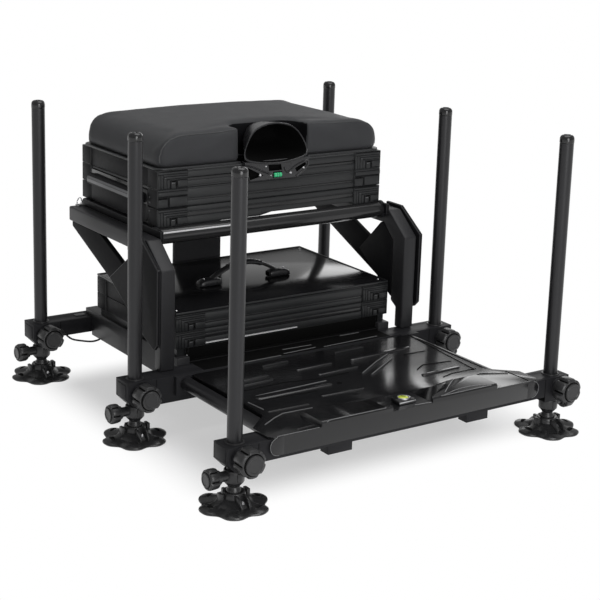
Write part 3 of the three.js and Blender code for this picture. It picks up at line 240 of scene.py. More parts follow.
# Mesh building in millimetres, with a material for each face
class Shape:
    def __init__(self, paint):
        self.bm = bmesh.new()
        self.materials = []
        self.use(paint)

    def use(self, paint):
        self.index = self.slot_of(paint)
        return self

    def slot_of(self, paint):
        if paint not in self.materials:
            self.materials.append(paint)
        return self.materials.index(paint)

    def soften(self, faces, width, segments=2, angle=BEVEL_ANGLE):
        bmesh.ops.recalc_face_normals(self.bm, faces=faces)
        limit = math.radians(angle)
        edges = {e for f in faces for e in f.edges if e.is_manifold and e.calc_face_angle(0) > limit}
        bmesh.ops.bevel(self.bm, geom=list(edges), offset=width, segments=segments, profile=0.5,
                        affect="EDGES", clamp_overlap=True)

    def face(self, corners):
        made = self.bm.faces.new(corners)
        made.material_index = self.index
        return made

    def loops(self, rings):
        return [[self.bm.verts.new(point) for point in ring] for ring in rings]

    # Faces between one loop of vertices and the next
    def join(self, loops):
        steps = [(i, (i + 1) % len(loops[0])) for i in range(len(loops[0]))]
        return [self.face((a[i], a[j], b[j], b[i])) for a, b in zip(loops, loops[1:]) for i, j in steps]

    # Rings of points joined into a closed skin
    def loft(self, rings, bevel=0.0, segments=2):
        loops = self.loops(rings)
        faces = self.join(loops) + [self.face(loops[0][::-1]), self.face(loops[-1])]
        if bevel:
            self.soften(faces, bevel, segments)
        return self

    def prism(self, axis, outline, span, bevel=0.0, segments=2):
        turn = {
            "x": lambda a, b, c: (c, a, b),
            "y": lambda a, b, c: (a, c, b),
            "z": lambda a, b, c: (a, b, c),
        }[axis]
        return self.loft([[turn(a, b, c) for a, b in outline] for c in span], bevel, segments)

    def block(self, xs, ys, zs, bevel=0.0, segments=2):
        outline = [(xs[0], ys[0]), (xs[1], ys[0]), (xs[1], ys[1]), (xs[0], ys[1])]
        return self.prism("z", outline, zs, bevel, segments)

    # A turned body: profile points are (radius, distance along the axis)
    def turn(self, profile, origin=(0, 0, 0), axis=(0, 0, 1), segments=40):
        rotation = Vector((0, 0, 1)).rotation_difference(Vector(axis)).to_matrix()
        loops = []
        for radius, along in profile:
            angles = turns(segments) if radius else [0]
            loops.append([self.bm.verts.new(Vector(origin) + rotation @ Vector(
                (radius * math.cos(angle), radius * math.sin(angle), along))) for angle in angles])
        for a, b in zip(loops, loops[1:]):
            for i in range(segments):
                j = (i + 1) % segments
                corners = [a[i % len(a)], a[j % len(a)], b[j % len(b)], b[i % len(b)]]
                self.face(list(dict.fromkeys(corners)))
        return self

    # A tube along points, round or flattened, with one radius or one for each point
    def sweep(self, points, radius, sides=12, closed=False, flat=1.0, hint=(0, 0, 1)):
        points = [Vector(point) for point in points]
        count = len(points)
        rings = []
        normal = Vector(hint)
        for i, point in enumerate(points):
            after = points[(i + 1) % count] if closed or i + 1 < count else point
            before = points[i - 1] if closed or i > 0 else point
            along = (after - before).normalized()
            normal = (normal - along * normal.dot(along)).normalized()
            across = along.cross(normal)
            size = radius[i] if isinstance(radius, list) else radius
            rings.append([point + across * (size * math.cos(angle)) + normal * (size * flat * math.sin(angle))
                          for angle in turns(sides)])
        if not closed:
            return self.loft(rings)
        loops = self.loops(rings)
        self.join(loops + loops[:1])
        return self

    # A copy of a solid of the frame, with its flat faces merged and its edges softened
    def copy(self, solid, bevel=0.0):
        self.bm.from_mesh(NODES[solid].data)
        for vert in self.bm.verts:
            vert.co = drawn(vert.co)
        bmesh.ops.remove_doubles(self.bm, verts=self.bm.verts, dist=WELD)
        bmesh.ops.dissolve_limit(self.bm, angle_limit=math.radians(FLAT_ANGLE), verts=self.bm.verts,
                                 edges=self.bm.edges)
        for face in self.bm.faces:
            face.material_index = self.index
        if bevel:
            self.soften(list(self.bm.faces), bevel, angle=COPY_BEVEL_ANGLE)
        return self

    # Adds a moved or mirrored twin of another shape
    def add(self, other, offset=(0, 0, 0), mirror=1):
        slots = [self.slot_of(paint) for paint in other.materials]
        twins = {vert: self.bm.verts.new(Vector((vert.co.x * mirror, vert.co.y, vert.co.z)) + Vector(offset))
                 for vert in other.bm.verts}
        for face in other.bm.faces:
            made = self.bm.faces.new([twins[vert] for vert in face.verts])
            made.material_index = slots[face.material_index]

    # Cuts another shape out of this one, and keeps the cutter's material slots on the cut
    def carve(self, cutter):
        base, tool = (link("carving", shape.drawn_mesh("carving")) for shape in (self, cutter))
        step = base.modifiers.new("carve", "BOOLEAN")
        step.operation = "DIFFERENCE"
        step.solver = "EXACT"
        step.object = tool
        result = evaluated_mesh(base)
        self.bm.clear()
        self.bm.from_mesh(result)
        bpy.data.meshes.remove(result)
        for obj in (base, tool):
            used = obj.data
            bpy.data.objects.remove(obj)
            bpy.data.meshes.remove(used)

    def drawn_mesh(self, name):
        bmesh.ops.recalc_face_normals(self.bm, faces=self.bm.faces)
        made = bpy.data.meshes.new(name)
        self.bm.to_mesh(made)
        for paint in self.materials:
            made.materials.append(paint)
        return made

    def mesh(self, name):
        for vert in self.bm.verts:
            vert.co = at(*vert.co)
        made = self.drawn_mesh(name)
        self.bm.free()
        return made

    def make(self, name, body, slot, stands_for=None):
        made = self.mesh(name)
        made.shade_smooth()
        made.set_sharp_from_angle(angle=math.radians(SHARP_ANGLE))
        return dress(link(name, made), body, stands_for)


# A smooth curve through points, open or closed
def smooth_path(points, steps, closed=False):
    places = [Vector(point) for point in points]
    count = len(places)
    path = []
    for i in range(count if closed else count - 1):
        near = [i - 1, i, i + 1, i + 2]
        a, b, c, d = (places[k % count if closed else min(max(k, 0), count - 1)] for k in near)
        for t in (k / steps for k in range(steps)):
            path.append(0.5 * (2 * b + (c - a) * t + (2 * a - 5 * b + 4 * c - d) * t * t
                               + (3 * b - a - 3 * c + d) * t ** 3))
    return path if closed else path + [places[-1]]


def arc(centre, radius, start, step, count):
    angles = [math.radians(start + step * k) for k in range(count)]
    return [(centre[0] + radius * math.cos(angle), centre[1] + radius * math.sin(angle)) for angle in angles]


# A rectangle with rounded corners, from its upper right corner round to the left
def rounded_outline(half, low, high, corner, inset=0):
    inner, bottom, top = half - corner, low + corner, high - corner
    centres = ((inner, top), (-inner, top), (-inner, bottom), (inner, bottom))
    return [point for i, centre in enumerate(centres) for point in arc(centre, corner - inset, 90 * i, 15, 7)]


# Profiles for turned bodies
def hoop(inner, outer, low, high):
    return [(inner, low), (outer, low), (outer, high), (inner, high), (inner, low)]


def rod(radius, low, high):
    return [(0, low), (radius, low), (radius, high), (0, high)]


def side_range(side, inner, outer):
    return (inner, outer) if side > 0 else (-outer, -inner)


def screw(shape, place, axis, radius, height):
    shape.use(STEEL)
    shape.turn([(0, -1), (radius, -1), (radius, height * 0.5), (radius * 0.75, height),
                (radius * 0.45, height), (radius * 0.4, height * 0.35), (0, height * 0.35)],
               place, axis, 20)


# The lanyard cord, a short free cord at the rear left
LANYARD_RADIUS = 1.8
LANYARD_ROUTE = [
    (-303, 365.7, 96), (-303, 359, 95), (-300, 354, 90), (-287, 351, 78), (-265, 350, 71),
    (-245, 349, 67), (-231, 349, 68), (-226, 349, 71), (-225, 349, 74.7),
]


def make_lanyard():
    path = smooth_path(LANYARD_ROUTE, 4)
    cord = Shape(CORD).sweep(path, LANYARD_RADIUS, 12, hint=(0, 1, 0.3))
    piece = cord.make("lanyard_cord", "base_frame", "cord_black", "lanyard")
    places = [at(*point) for point in path]


make_lanyard()

# Lobed knobs: levels are (distance from the knob's end, share of its radius, share of the flutes' depth)
KNOB_LOBES = 6
KNOB_STEPS = 14 * KNOB_LOBES
FLUTE_DEPTH = 0.17
FLUTE_HALF = 0.21
FLUTE_SHADE_REACH = 0.9


def knob(shape, origin, axis, radius, length, button, shank, shank_length):
    origin, axis = Vector(origin), Vector(axis)
    side = Vector((0, 0, 1))
    other = axis.cross(side)
    dips = []
    for i in range(KNOB_STEPS):
        near = abs((i * KNOB_LOBES / KNOB_STEPS) % 1 - 0.5) / FLUTE_HALF
        dips.append(0.5 + 0.5 * math.cos(math.pi * near) if near < 1 else 0)
    rings = []
    levels = [(0, 0.84, 0.5), (1.0, 0.93, 0.8), (3.0, 0.98, 1), (length - 6, 1.0, 1),
              (length - 2.6, 0.97, 0.9), (length - 0.9, 0.9, 0.6), (length, 0.82, 0.3)]
    for along, scale, deep in levels:
        ring = []
        for angle, dip in zip(turns(KNOB_STEPS), dips):
            reach = radius * scale * (1 - FLUTE_DEPTH * dip * deep)
            ring.append(origin + axis * along + side * (reach * math.cos(angle)) + other * (reach * math.sin(angle)))
        rings.append(ring)
    # The floors of the flutes and a ring round the button are painted dark as shade
    shape.use(KNOB).loft(rings).use(PAINTED_SHADE)
    for face in shape.bm.faces:
        offset = face.calc_center_median() - origin
        along = offset.dot(axis)
        if 2.5 < along < length - 3 and (offset - axis * along).length < radius * FLUTE_SHADE_REACH:
            face.material_index = shape.index
    shape.turn(hoop(0.69 * radius, 0.77 * radius, length - 0.5, length + 0.12), origin, axis, 36)
    shape.use(KNOB)
    face, dish = length + button, length + button - 0.8
    shape.turn([(0, length - 1), (0.68 * radius, length - 1), (0.68 * radius, face - 1.2), (0.63 * radius, face),
                (0.52 * radius, face), (0.48 * radius, dish), (0, dish)], origin, axis, 36)
    shape.use(STEEL).turn(rod(shank, -shank_length, 1), origin, axis, 20)
    shape.use(KNOB).turn([(0, -0.2), (radius * 0.55, -0.2), (radius * 0.62, 0.6), (0, 0.6)], origin, axis, 30)


# Mud feet: a lobed plate as levels of (height, share of its radius), with a slot in each lobe
FOOT_LOBES = 6
FOOT_RADIUS = 60
FOOT_LEVELS = [
    (0.0, 0.955), (1.6, 0.99), (3.6, 1.0), (5.6, 0.985), (7.4, 0.93), (9.0, 0.83), (10.4, 0.70),
    (12.0, 0.57), (14.6, 0.46), (17.5, 0.37),
]
LOBE_DEPTH = 0.16
LOBE_SHARPNESS = 1.6
LOBE_SINK = 0.42
SLOT_PLACE, SLOT_WIDTH, SLOT_LENGTH = 44, 4.2, 9.5


def foot_plate():
    shape = Shape(FOOT)
    rings = []
    for height, scale in FOOT_LEVELS:
        share = min(1, max(0, (scale - 0.36) / 0.5))
        sink = LOBE_SINK if scale > 0.5 else 0
        ring = []
        for angle in turns(16 * FOOT_LOBES):
            dip = ((1 - math.cos(angle * FOOT_LOBES)) / 2) ** LOBE_SHARPNESS
            reach = FOOT_RADIUS * scale * (1 - LOBE_DEPTH * dip * share)
            ring.append((reach * math.cos(angle), reach * math.sin(angle), height * (1 - sink * dip)))
        rings.append(ring)
    shape.loft(rings)
    slots = Shape(FOOT)
    for lobe in turns(FOOT_LOBES):
        turned = Matrix.Rotation(lobe, 3, "Z")
        slots.loft([[turned @ Vector((SLOT_PLACE + SLOT_WIDTH * math.cos(angle), SLOT_LENGTH * math.sin(angle), z))
                     for angle in turns(20)] for z in (-5, 20)])
    shape.carve(slots)
    return shape


# Leg stations. Profiles are (radius, height) on the leg's axis, or along the axis of the knob
LEG_X = 335
ROWS = {"rear": 388, "middle": 0, "front": -331}
CLAMP_STAND, CLAMP_HEIGHT = 31.3, 89.5
CLAMP_KNOB = {"radius": 24, "length": 27, "button": 4, "shank": 5.2, "shank_length": 12}
ANKLE_STAND, ANKLE_HEIGHT = 32.6, 54
ANKLE_KNOB = {"radius": 17.4, "length": 18.4, "button": 2, "shank": 4.4, "shank_length": 15}
LEG_TUBE = [(0, 46.7), (11.9, 46.7), (12.5, 47.4), (12.5, 530.6), (11.9, 531.2), (0, 531.2)]
LEG_CAP = [
    (0, 530), (12.1, 530.5), (12.9, 531.6), (12.9, 537.0), (12.5, 540.0), (11.2, 542.8), (9.0, 544.5),
    (6.6, 545.0), (4.6, 544.2), (3.4, 543.2), (0, 543.0),
]
CLAMP_FLANGE = [(0, -3.4), (14.5, -3.4), (16.5, -2.6), (16.5, -1.2), (12, -0.6), (0, -0.6)]
ANKLE_FLANGE = [(0, -2.6), (10.5, -2.6), (12, -1.8), (12, -0.9), (8, -0.3), (0, -0.3)]
COLLAR = [
    (0, 11.7), (4.5, 12.5), (8.2, 14.7), (11, 18), (12.5, 22), (12.8, 25), (12.3, 28.5), (11.1, 31.4),
    (9.8, 33.4), (9.6, 34.6), (10.4, 36.4), (13.4, 39.6), (16.4, 43), (17, 44.4),
    (17, 60.6), (16.4, 61.8), (16.4, 63.0), (15.6, 63.7), (12.9, 63.7), (12.9, 46.4), (0, 46.4),
]
COLLAR_ARM = [
    (0, 10), (8.5, 10), (8.5, 26.5), (11.4, 27.6), (11.8, 29), (11.8, 31.4), (11, 32.6), (4.2, 33),
    (4.2, 31), (0, 31),
]
FOOT_HUB = [
    (0, 2), (27, 2), (26, 8), (22.4, 12), (20.4, 17), (19.6, 22), (19, 25.4), (17.6, 27), (15.8, 27),
    (13.8, 26.2), (13.9, 24), (13.6, 21), (11.4, 16.4), (7.2, 12.4), (0, 11),
]
# A lug of the hub's front, as (distance in front of the leg, height)
FOOT_LUG = [(17, 6), (39, 6), (39, 13), (33, 22), (24, 26), (17, 26)]


def make_leg_station(row_name, row, side_name, side, plate):
    tag = f"{row_name}_{side_name}"
    x = side * LEG_X
    foot_of_leg = (x, row, 0)
    tube = Shape(TUBE).turn(LEG_TUBE, foot_of_leg, segments=56)
    tube.use(CAP).turn(LEG_CAP, foot_of_leg, segments=48)
    tube.make(f"leg_{tag}_tube", f"leg_{tag}", "satin_tube", f"leg_tube_{tag}")

    place, axis = (x, row - CLAMP_STAND, CLAMP_HEIGHT), (0, -1, 0)
    grip = Shape(KNOB)
    knob(grip, place, axis, **CLAMP_KNOB)
    grip.turn(CLAMP_FLANGE, place, axis, 36)
    grip.make(f"clamp_knob_{tag}", f"leg_clamp_knob_{tag}", "knob_plastic", f"leg_clamp_knob_{tag}")

    collar = Shape(FOOT).turn(COLLAR, foot_of_leg, segments=48)
    collar.turn(COLLAR_ARM, (x, row, ANKLE_HEIGHT), (side, 0, 0), 32)
    collar.block((x - 4, x + 4), (row - 18.4, row - 14), (46, 60), 1.2)
    collar.make(f"collar_{tag}", f"leg_{tag}", "foot_plastic", f"foot_collar_{tag}")

    place, axis = (x + side * ANKLE_STAND, row, ANKLE_HEIGHT), (side, 0, 0)
    lock = Shape(KNOB)
    knob(lock, place, axis, **ANKLE_KNOB)
    lock.turn(ANKLE_FLANGE, place, axis, 32)
    lock.make(f"ankle_knob_{tag}", f"foot_knob_{tag}", "knob_plastic", f"foot_knob_{tag}")

    foot = Shape(FOOT)
    foot.add(plate, foot_of_leg, side)
    foot.turn(FOOT_HUB, foot_of_leg, segments=44)
    foot.block((x - 3, x + 3), (row + 16, row + 34), (6, 20), 1.4)
    for way in (1, -1):
        foot.block((x + way * 24 - 3.2, x + way * 24 + 3.2), (row - 7, row + 7), (8, 27), 1.6)
        foot.prism("x", [(row - out, z) for out, z in FOOT_LUG], (x + way * 7.5 - 2, x + way * 7.5 + 2), 0.9)
    screw(foot, (x, row - 27, 15), (0, -1, 0), 3.2, 2.0)
    foot.make(f"mud_foot_{tag}_moulding", f"mud_foot_{tag}", "foot_plastic", f"mud_foot_{tag}")


def make_leg_stations():
    plate = foot_plate()
    for row_name, row in ROWS.items():
        for side_name, side in SIDES.items():
            make_leg_station(row_name, row, side_name, side, plate)
    plate.bm.free()


make_leg_stations()

# Base: copies of the beams with rings round the legs, thin dark slabs of painted shade for grooves, and end plates
BEAM_TOP, FOOT_BEAM_TOP = 112, 108
BEAM_HALF_DEPTH = 22
LEG_RING = [(12.9, 0.2), (15.8, 0.2), (15.6, 1.2), (13.4, 1.6), (12.9, 1.4), (12.9, 0.2)]
# Thin lines of painted highlight on the middle of the front beam's top, (x, y) from and to
BEAM_HIGHLIGHT_LINES = [((-124, -20), (-43, -19)), ((-33, -13), (40, -10)), ((56, -15), (184, -10)), ((-22, 8), (41, 6))]
BEAM_LINE_HEIGHT = 112.3
CLIP_X = 252


def beam(solid, row, top):
    shape = Shape(POWDER).copy(solid, 1.3)
    ys = (row - BEAM_HALF_DEPTH - 0.25, row + BEAM_HALF_DEPTH + 0.25)
    for side in (-1, 1):
        shape.use(KNOB).turn(LEG_RING, (side * LEG_X, row, top), segments=44)
        # A thin dark slab near each leg ring, painted shade standing for a groove
        shape.use(PAINTED_SHADE).block(side_range(side, 303.4, 304.4), ys, (66, top - 1))
        shape.use(POWDER).block(side_range(side, 359.4, 361.2), (row - 15, row + 15), (84, 107), 0.8)
    return shape


def make_beams():
    # The middle of the beam's top under the lower unit, and a sheet behind it, are painted black as shade
    front = beam("base_front_beam", ROWS["middle"], BEAM_TOP).use(PAINTED_SHADE)
    front.block((-208, 208), (-21.6, 22), (108, 112.25), 0.4)
    front.block((-211.6, 211.6), (22.6, 36), (86, 115.4), 0.4)
    # Painted highlights: light lines along the beam's top and a light block at its rear edge
    front.use(RIDGE_HIGHLIGHT)
    for a, b in BEAM_HIGHLIGHT_LINES:
        front.sweep([(*a, BEAM_LINE_HEIGHT), (*b, BEAM_LINE_HEIGHT)], 1.3, 10, flat=0.45)
    front.block((119, 165), (22.1, 23), (112.6, 114.6), 0.3)
    front.make("base_front_beam_cast", "base_frame", "powder_coat", "base_front_beam")

    rear = beam("base_rear_beam", ROWS["rear"], BEAM_TOP).use(GREY_AND_HIGHLIGHT)
    for x in (-CLIP_X, CLIP_X):
        rear.block((x - 11, x + 11), (382, 396), (112, 113.2), 0.5)
        rear.block((x - 3, x + 3), (380.4, 382), (106, 113.2), 0.5)
    rear.make("base_rear_beam_cast", "base_frame", "powder_coat", "base_rear_beam")

    plate = beam("footplate_beam", ROWS["front"], FOOT_BEAM_TOP)
    plate.make("footplate_beam_cast", "footplate", "powder_coat", "footplate_beam")

    for name in SIDES:
        rail = Shape(EXTRUSION).copy(f"side_beam_{name}", 1.2)
        rail.make(f"side_beam_{name}_rail", "base_frame", "extrusion", f"side_beam_{name}")


make_beams()

# Side frames: a bent tube with a dark prism of painted shade in its groove, an outer plate painted dark as shade, an
# end cap and strips along the rail painted dark as shade.
# Outlines are (y, z) seen from the side
BENT_TUBE = [
    (4, 112.3), (26, 112.3), (26, 152), (42, 162), (42, 282), (72, 312), (370, 312), (370, 340), (58, 340),
    (4, 295),
]
GROOVE_SHADE = [(12, 160), (42, 166), (42, 282), (72, 312), (110, 312), (110, 332), (58, 332), (12, 295)]
OUTER_PLATE = [
    (-1, 164), (11, 152), (42, 166), (181, 245), (88, 312), (110, 312), (110, 345), (63, 345), (-1, 300),
]


def make_side_frame(name, side):
    tube = Shape(EXTRUSION).prism("x", BENT_TUBE, side_range(side, 253, 282), 3.0, 3)
    # A near-black prism in the groove, painted shade
    tube.use(PAINTED_SHADE).prism("x", GROOVE_SHADE, side_range(side, 281, 286.5))
    tube.use(BRACE_SHADE).prism("x", OUTER_PLATE, side_range(side, 285.5, 292.5), 1.6, 3)
    tube.use(CAP).block(side_range(side, 255, 280), (369.4, 372.6), (314, 338), 1.2)
    tube.use(SHELL_SHADE).block(side_range(side, 247, 253.4), (58, 368), (332, 352.3), 1.0)
    tube.block(side_range(side, 229, 252), (101, 340), (340, 352.4), 1.0)
    tube.make(f"side_frame_{name}_bent", "base_frame", "extrusion", f"side_frame_{name}")
    # Gussets and braces take the darker copy of the powder coat, painted shade
    for solid, bevel in (("gusset", 0.8), ("brace", 1.6)):
        plate = Shape(BRACE_SHADE).copy(f"{solid}_{name}", bevel)
        plate.make(f"{solid}_{name}_plate", "base_frame", "powder_coat", f"{solid}_{name}")


for side_name, side in SIDES.items():
    make_side_frame(side_name, side)

# Cross tubes: (radius, place along x) and the collar at each end
CROSS_TUBES = {"front": 84, "rear": 358}
CROSS_HALF, CROSS_HEIGHT = 252.7, 337.5
CROSS_TUBE = [
    (0, -CROSS_HALF), (14.6, -CROSS_HALF), (15, 0.5 - CROSS_HALF), (15, CROSS_HALF - 0.5),
    (14.6, CROSS_HALF), (0, CROSS_HALF),
]
CROSS_COLLAR = [(15.1, 0), (17.4, 0), (17.4, 5), (16.6, 6.4), (15.1, 6.6), (15.1, 0)]


def make_cross_tubes():
    for name, y in CROSS_TUBES.items():
        tube = Shape(TUBE_GLOSS).turn(CROSS_TUBE, (0, y, CROSS_HEIGHT), (1, 0, 0), 60)
        for side in (-1, 1):
            tube.use(POWDER).turn(CROSS_COLLAR, (side * CROSS_HALF, y, CROSS_HEIGHT), (-side, 0, 0), 48)
        # A light strip along the front tube's top, a painted highlight
        if name == "front":
            ends = [(x, y - 12.7, 345.5) for x in (-248, -70)]
            tube.use(TUBE_HIGHLIGHT).sweep(ends, 1.5, 10, flat=0.5, hint=(0, -0.85, 0.53))
        tube.make(f"{name}_cross_tube_round", "base_frame", "satin_tube", f"{name}_cross_tube")


make_cross_tubes()

# Rear panel: (y, inset of the outline), with a row of stitches near its ends
PANEL_HALF, PANEL_BOTTOM, PANEL_TOP, PANEL_CORNER = 55, 112.3, 322.2, 7
PANEL_RINGS = [(359.2, 5), (359.8, 2.2), (361.6, 0.4), (364.5, 0), (367.4, 0.4), (369.2, 2.2), (369.8, 5)]
STITCHES, STITCH_STEP, STITCH_LENGTH = 24, 4, 2.6


def make_rear_panel():
    panel = Shape(FABRIC).loft([
        [(x, y, z) for x, z in rounded_outline(PANEL_HALF, PANEL_BOTTOM, PANEL_TOP, PANEL_CORNER, inset)]
        for y, inset in PANEL_RINGS
    ])
    panel.use(PIPING)
    for z in (130, 304):
        for x in (STITCH_STEP * k - 46 for k in range(STITCHES)):
            for ys in ((358.6, 359.6), (369.4, 370.4)):
                panel.block((x, x + STITCH_LENGTH), ys, (z - 0.4, z + 0.4), 0.15, 1)
    panel.make("rear_panel_cover", "base_frame", "panel_fabric", "rear_panel")


make_rear_panel()

# Tray walls: long strips between the corner blocks, and relief on each block
UPPER = {"half": 246, "front": 83, "rear": 384}
LOWER = {"half": 237, "front": 30, "rear": 340}
CORNER_WIDTH, CORNER_DEPTH, CORNER_GAP = 61, 37, 0.3
UPPER_LAYER, LOWER_LAYER = 34, 31
TOP_TRAY_BOTTOM, CABINET_MIDDLE, CABINET_BOTTOM = 421.1, 386.8, 352.8
LOWER_CASES = [
    ("lower_bottom_tray", "lower_bottom_case", 139.3, "bottom"),
    ("lower_top_tray", "lower_top_case", 170.6, "middle"),
]

# Bands of a layer's front and rear: from, to, paint and how far they lie behind the corner blocks. The top layer's
# grey band along the rim is a painted highlight
BANDS = {
    "top": [(3.2, 12.2, CASE, 1.3), (12.6, 17.4, CASE_GLOSS, 2.0), (18.6, 29.2, CASE, 1.3), (31.5, 33.8, GREY_AND_HIGHLIGHT, 1.0)],
    "middle": [(1, 10, CASE, 1.3), (10.6, 14, CASE_GLOSS, 2.0), (14.6, 31, CASE, 1.3)],
    "bottom": [(2, 14, CASE, 1.3), (15, 23, CASE_GLOSS, 2.0), (24, 32.4, CASE, 1.3)],
}

# Raised plates of a corner block: from and to across, from and to upwards, how proud, paint. Dark plates are painted
# shade in hollows and under bars, and the pull-coloured plate is a painted highlight
WINDOW_PLATES = [
    (1, 60, 27.5, 31, 1.0, CASE), (12, 60, 23.5, 26.5, 0.6, CASE), (0.8, 5.5, 1.4, 26.5, 0.6, CASE),
    (6.5, 11, 1.4, 26.5, 0.6, CASE), (12, 17.5, 1.4, 22.5, 1.1, CASE), (17.4, 60, 19, 22.5, 1.1, CASE),
    (19, 24, 1.4, 17.5, 0.6, CASE), (23.8, 60, 16.4, 18, 0.6, CASE), (27.4, 39.4, 12.8, 15.8, 0.5, PAINTED_SHADE),
    (36, 39.4, 4, 13, 0.5, PAINTED_SHADE), (27, 35.6, 1, 12.4, 0.9, CASE), (28, 34.6, 10, 12, 1.1, PULL_GREY_AND_HIGHLIGHT),
    (40.5, 60, 3, 14.6, 0.8, CASE), (12.6, 17, 19.6, 22, 1.4, GREY_AND_HIGHLIGHT), (0.6, 60.4, 31.4, 33.3, 0.3, PAINTED_SHADE),
    (38, 60, 0.9, 2.2, 0.4, PAINTED_SHADE),
]
BAR_PLATES = [
    (1, 60, 22.5, 29.4, 2.0, CASE), (1, 60, 30.4, 33, 0.6, CASE), (1, 19.5, 2, 16.5, 1.0, CASE),
    (24, 60, 2.4, 19, 1.0, CASE), (1, 20, 17.2, 19.8, 0.5, PAINTED_SHADE), (20.4, 22.6, 4, 21, 0.5, PAINTED_SHADE),
    (38, 60, 20.2, 22.2, 0.5, PAINTED_SHADE), (37, 59, 0.9, 2, 0.4, PAINTED_SHADE),
]


def strip_half(unit):
    return unit["half"] - CORNER_WIDTH - CORNER_GAP


def tray_strips(shape, unit, bottom, height, kind, skip=()):
    xs = (-strip_half(unit), strip_half(unit))
    ys = (unit["front"] + CORNER_DEPTH + CORNER_GAP, unit["rear"] - CORNER_DEPTH - CORNER_GAP)
    scale = height / UPPER_LAYER
    for end, inward in (("front", 1), ("rear", -1)):
        if end in skip:
            continue

        def behind(near, far):
            return sorted((unit[end] + inward * near, unit[end] + inward * far))

        # A dark sheet behind the bands, painted shade showing in the seams between them
        shape.use(PAINTED_SHADE).block(xs, behind(2.6, 3.6), (bottom + 0.4, bottom + height - 0.2))
        for start, stop, paint, back in BANDS[kind]:
            shape.use(paint).block(xs, behind(back, 3.4), (bottom + start * scale, bottom + stop * scale), 0.5)
    # Side panels painted darker than the fronts, as shade
    shape.use(SHELL_SHADE)
    for end, side in SIDES.items():
        if end not in skip:
            shape.block(side_range(side, unit["half"] - 3.4, unit["half"] - 1.3), ys,
                        (bottom + 0.8, bottom + height - 0.6), 0.6)


def relief(shape, place, bottom, height, plates):
    scale = height / UPPER_LAYER

    def plate(across_from, across_to, up_from, up_to, proud, paint, bevel=0.45):
        near, far = place(across_from, -1.2), place(across_to, proud)
        shape.use(paint).block(sorted((near[0], far[0])), sorted((near[1], far[1])),
                               (bottom + up_from * scale, bottom + up_to * scale), bevel)

    # A dark backing plate behind the relief, painted shade
    plate(0.6, 60.6, 0.9, 33.2, 0.2, SHELL_SHADE, 0.05)
    for entry in plates:
        plate(*entry)


def corner_reliefs(shape, unit, bottom, height, plates):
    half = unit["half"]
    for left in (-half, half - CORNER_WIDTH):
        relief(shape, lambda u, out: (left + u, unit["front"] - out), bottom, height, plates)
        relief(shape, lambda u, out: (left + CORNER_WIDTH - u, unit["rear"] + out), bottom, height, plates)
    # Sides of the corner blocks painted dark as shade
    for side in (-1, 1):
        for low in (unit["front"], unit["rear"] - CORNER_DEPTH):
            shape.use(SHELL_SHADE).block(side_range(side, half - 1, half + 0.7), (low + 1.2, low + CORNER_DEPTH - 1.2),
                                   (bottom + 0.9, bottom + height - 0.7), 0.6)


# The drawer's pull, its body painted dark as shade, and its light strip, the pull's grey kept only on its lit top as
# a painted highlight, as (x, z)
PULL_OUTLINE = [
    (-246.3, 389.8), (-246.3, 407.8), (-250, 408.4), (-254.5, 407.2), (-258, 404), (-260, 399.6),
    (-260.3, 392), (-259.4, 389.8), (-256.5, 389.8), (-256.2, 397), (-253, 402), (-250, 402.8), (-249.6, 389.8),
]
PULL_STRIP = [(-260.9, 393), (-260.7, 399.8), (-258.6, 404.4), (-257.4, 403.6), (-259.4, 399.2), (-259.8, 393)]


def make_upper_unit():
    tray = Shape(CASE).copy("top_tray", 0.7)
    tray_strips(tray, UPPER, TOP_TRAY_BOTTOM, UPPER_LAYER, "top")
    corner_reliefs(tray, UPPER, TOP_TRAY_BOTTOM, UPPER_LAYER, WINDOW_PLATES)
    tray.make("top_tray_case", "top_tray", "gloss_case", "top_tray")

    cabinet = Shape(CASE).copy("drawer_cabinet", 0.6)
    tray_strips(cabinet, UPPER, CABINET_MIDDLE, UPPER_LAYER, "middle", ("left",))
    tray_strips(cabinet, UPPER, CABINET_BOTTOM, UPPER_LAYER, "bottom", ("left", "front"))
    inner = strip_half(UPPER)
    # A dark sheet behind the lower bands, painted shade
    cabinet.use(PAINTED_SHADE).block((-inner, inner), (85.6, 86.6), (361, 386))
    for start, end, paint, back in BANDS["bottom"][1:]:
        cabinet.use(paint).block((-inner, inner), (UPPER["front"] + back, 86.4),
                                 (CABINET_BOTTOM + start, CABINET_BOTTOM + end), 0.5)
    cabinet.use(CASE).block((-inner, -28), (84.3, 86.4), (354.8, 366.8), 0.5)
    corner_reliefs(cabinet, UPPER, CABINET_MIDDLE, UPPER_LAYER, BAR_PLATES)
    corner_reliefs(cabinet, UPPER, CABINET_BOTTOM, UPPER_LAYER, WINDOW_PLATES)
    cabinet.use(GREY_AND_HIGHLIGHT)
    for side in (-1, 1):
        for z in (404, 379):
            cabinet.turn([(0, 0), (1.8, 0), (1.5, 0.7), (0, 0.8)], (side * 246.6, 112, z), (side, 0, 0), 16)
        cabinet.block(side_range(side, 246.4, 247.5), (107, 114), (393.4, 396.4), 0.3)
    cabinet.make("drawer_cabinet_case", "base_frame", "gloss_case", "drawer_cabinet")

    drawer = Shape(CASE_GLOSS).copy("side_drawer", 0.6)
    # The drawer's side panel is painted dark as shade
    drawer.use(SHELL_SHADE).block((-247.2, -245.4), (124, 343), (356.4, 388), 0.6)
    drawer.make("side_drawer_box", "side_drawer", "gloss_case", "side_drawer")

    # The pull's body is painted dark as shade and only its top strip is light, a painted highlight
    handle = Shape(SHELL_SHADE).prism("y", PULL_OUTLINE, (131, 336), 0.7)
    handle.use(PULL_GREY_AND_HIGHLIGHT).prism("y", PULL_STRIP, (132, 335), 0.3)
    handle.make("side_drawer_pull", "side_drawer", "grey_plastic", "side_drawer_handle")


make_upper_unit()

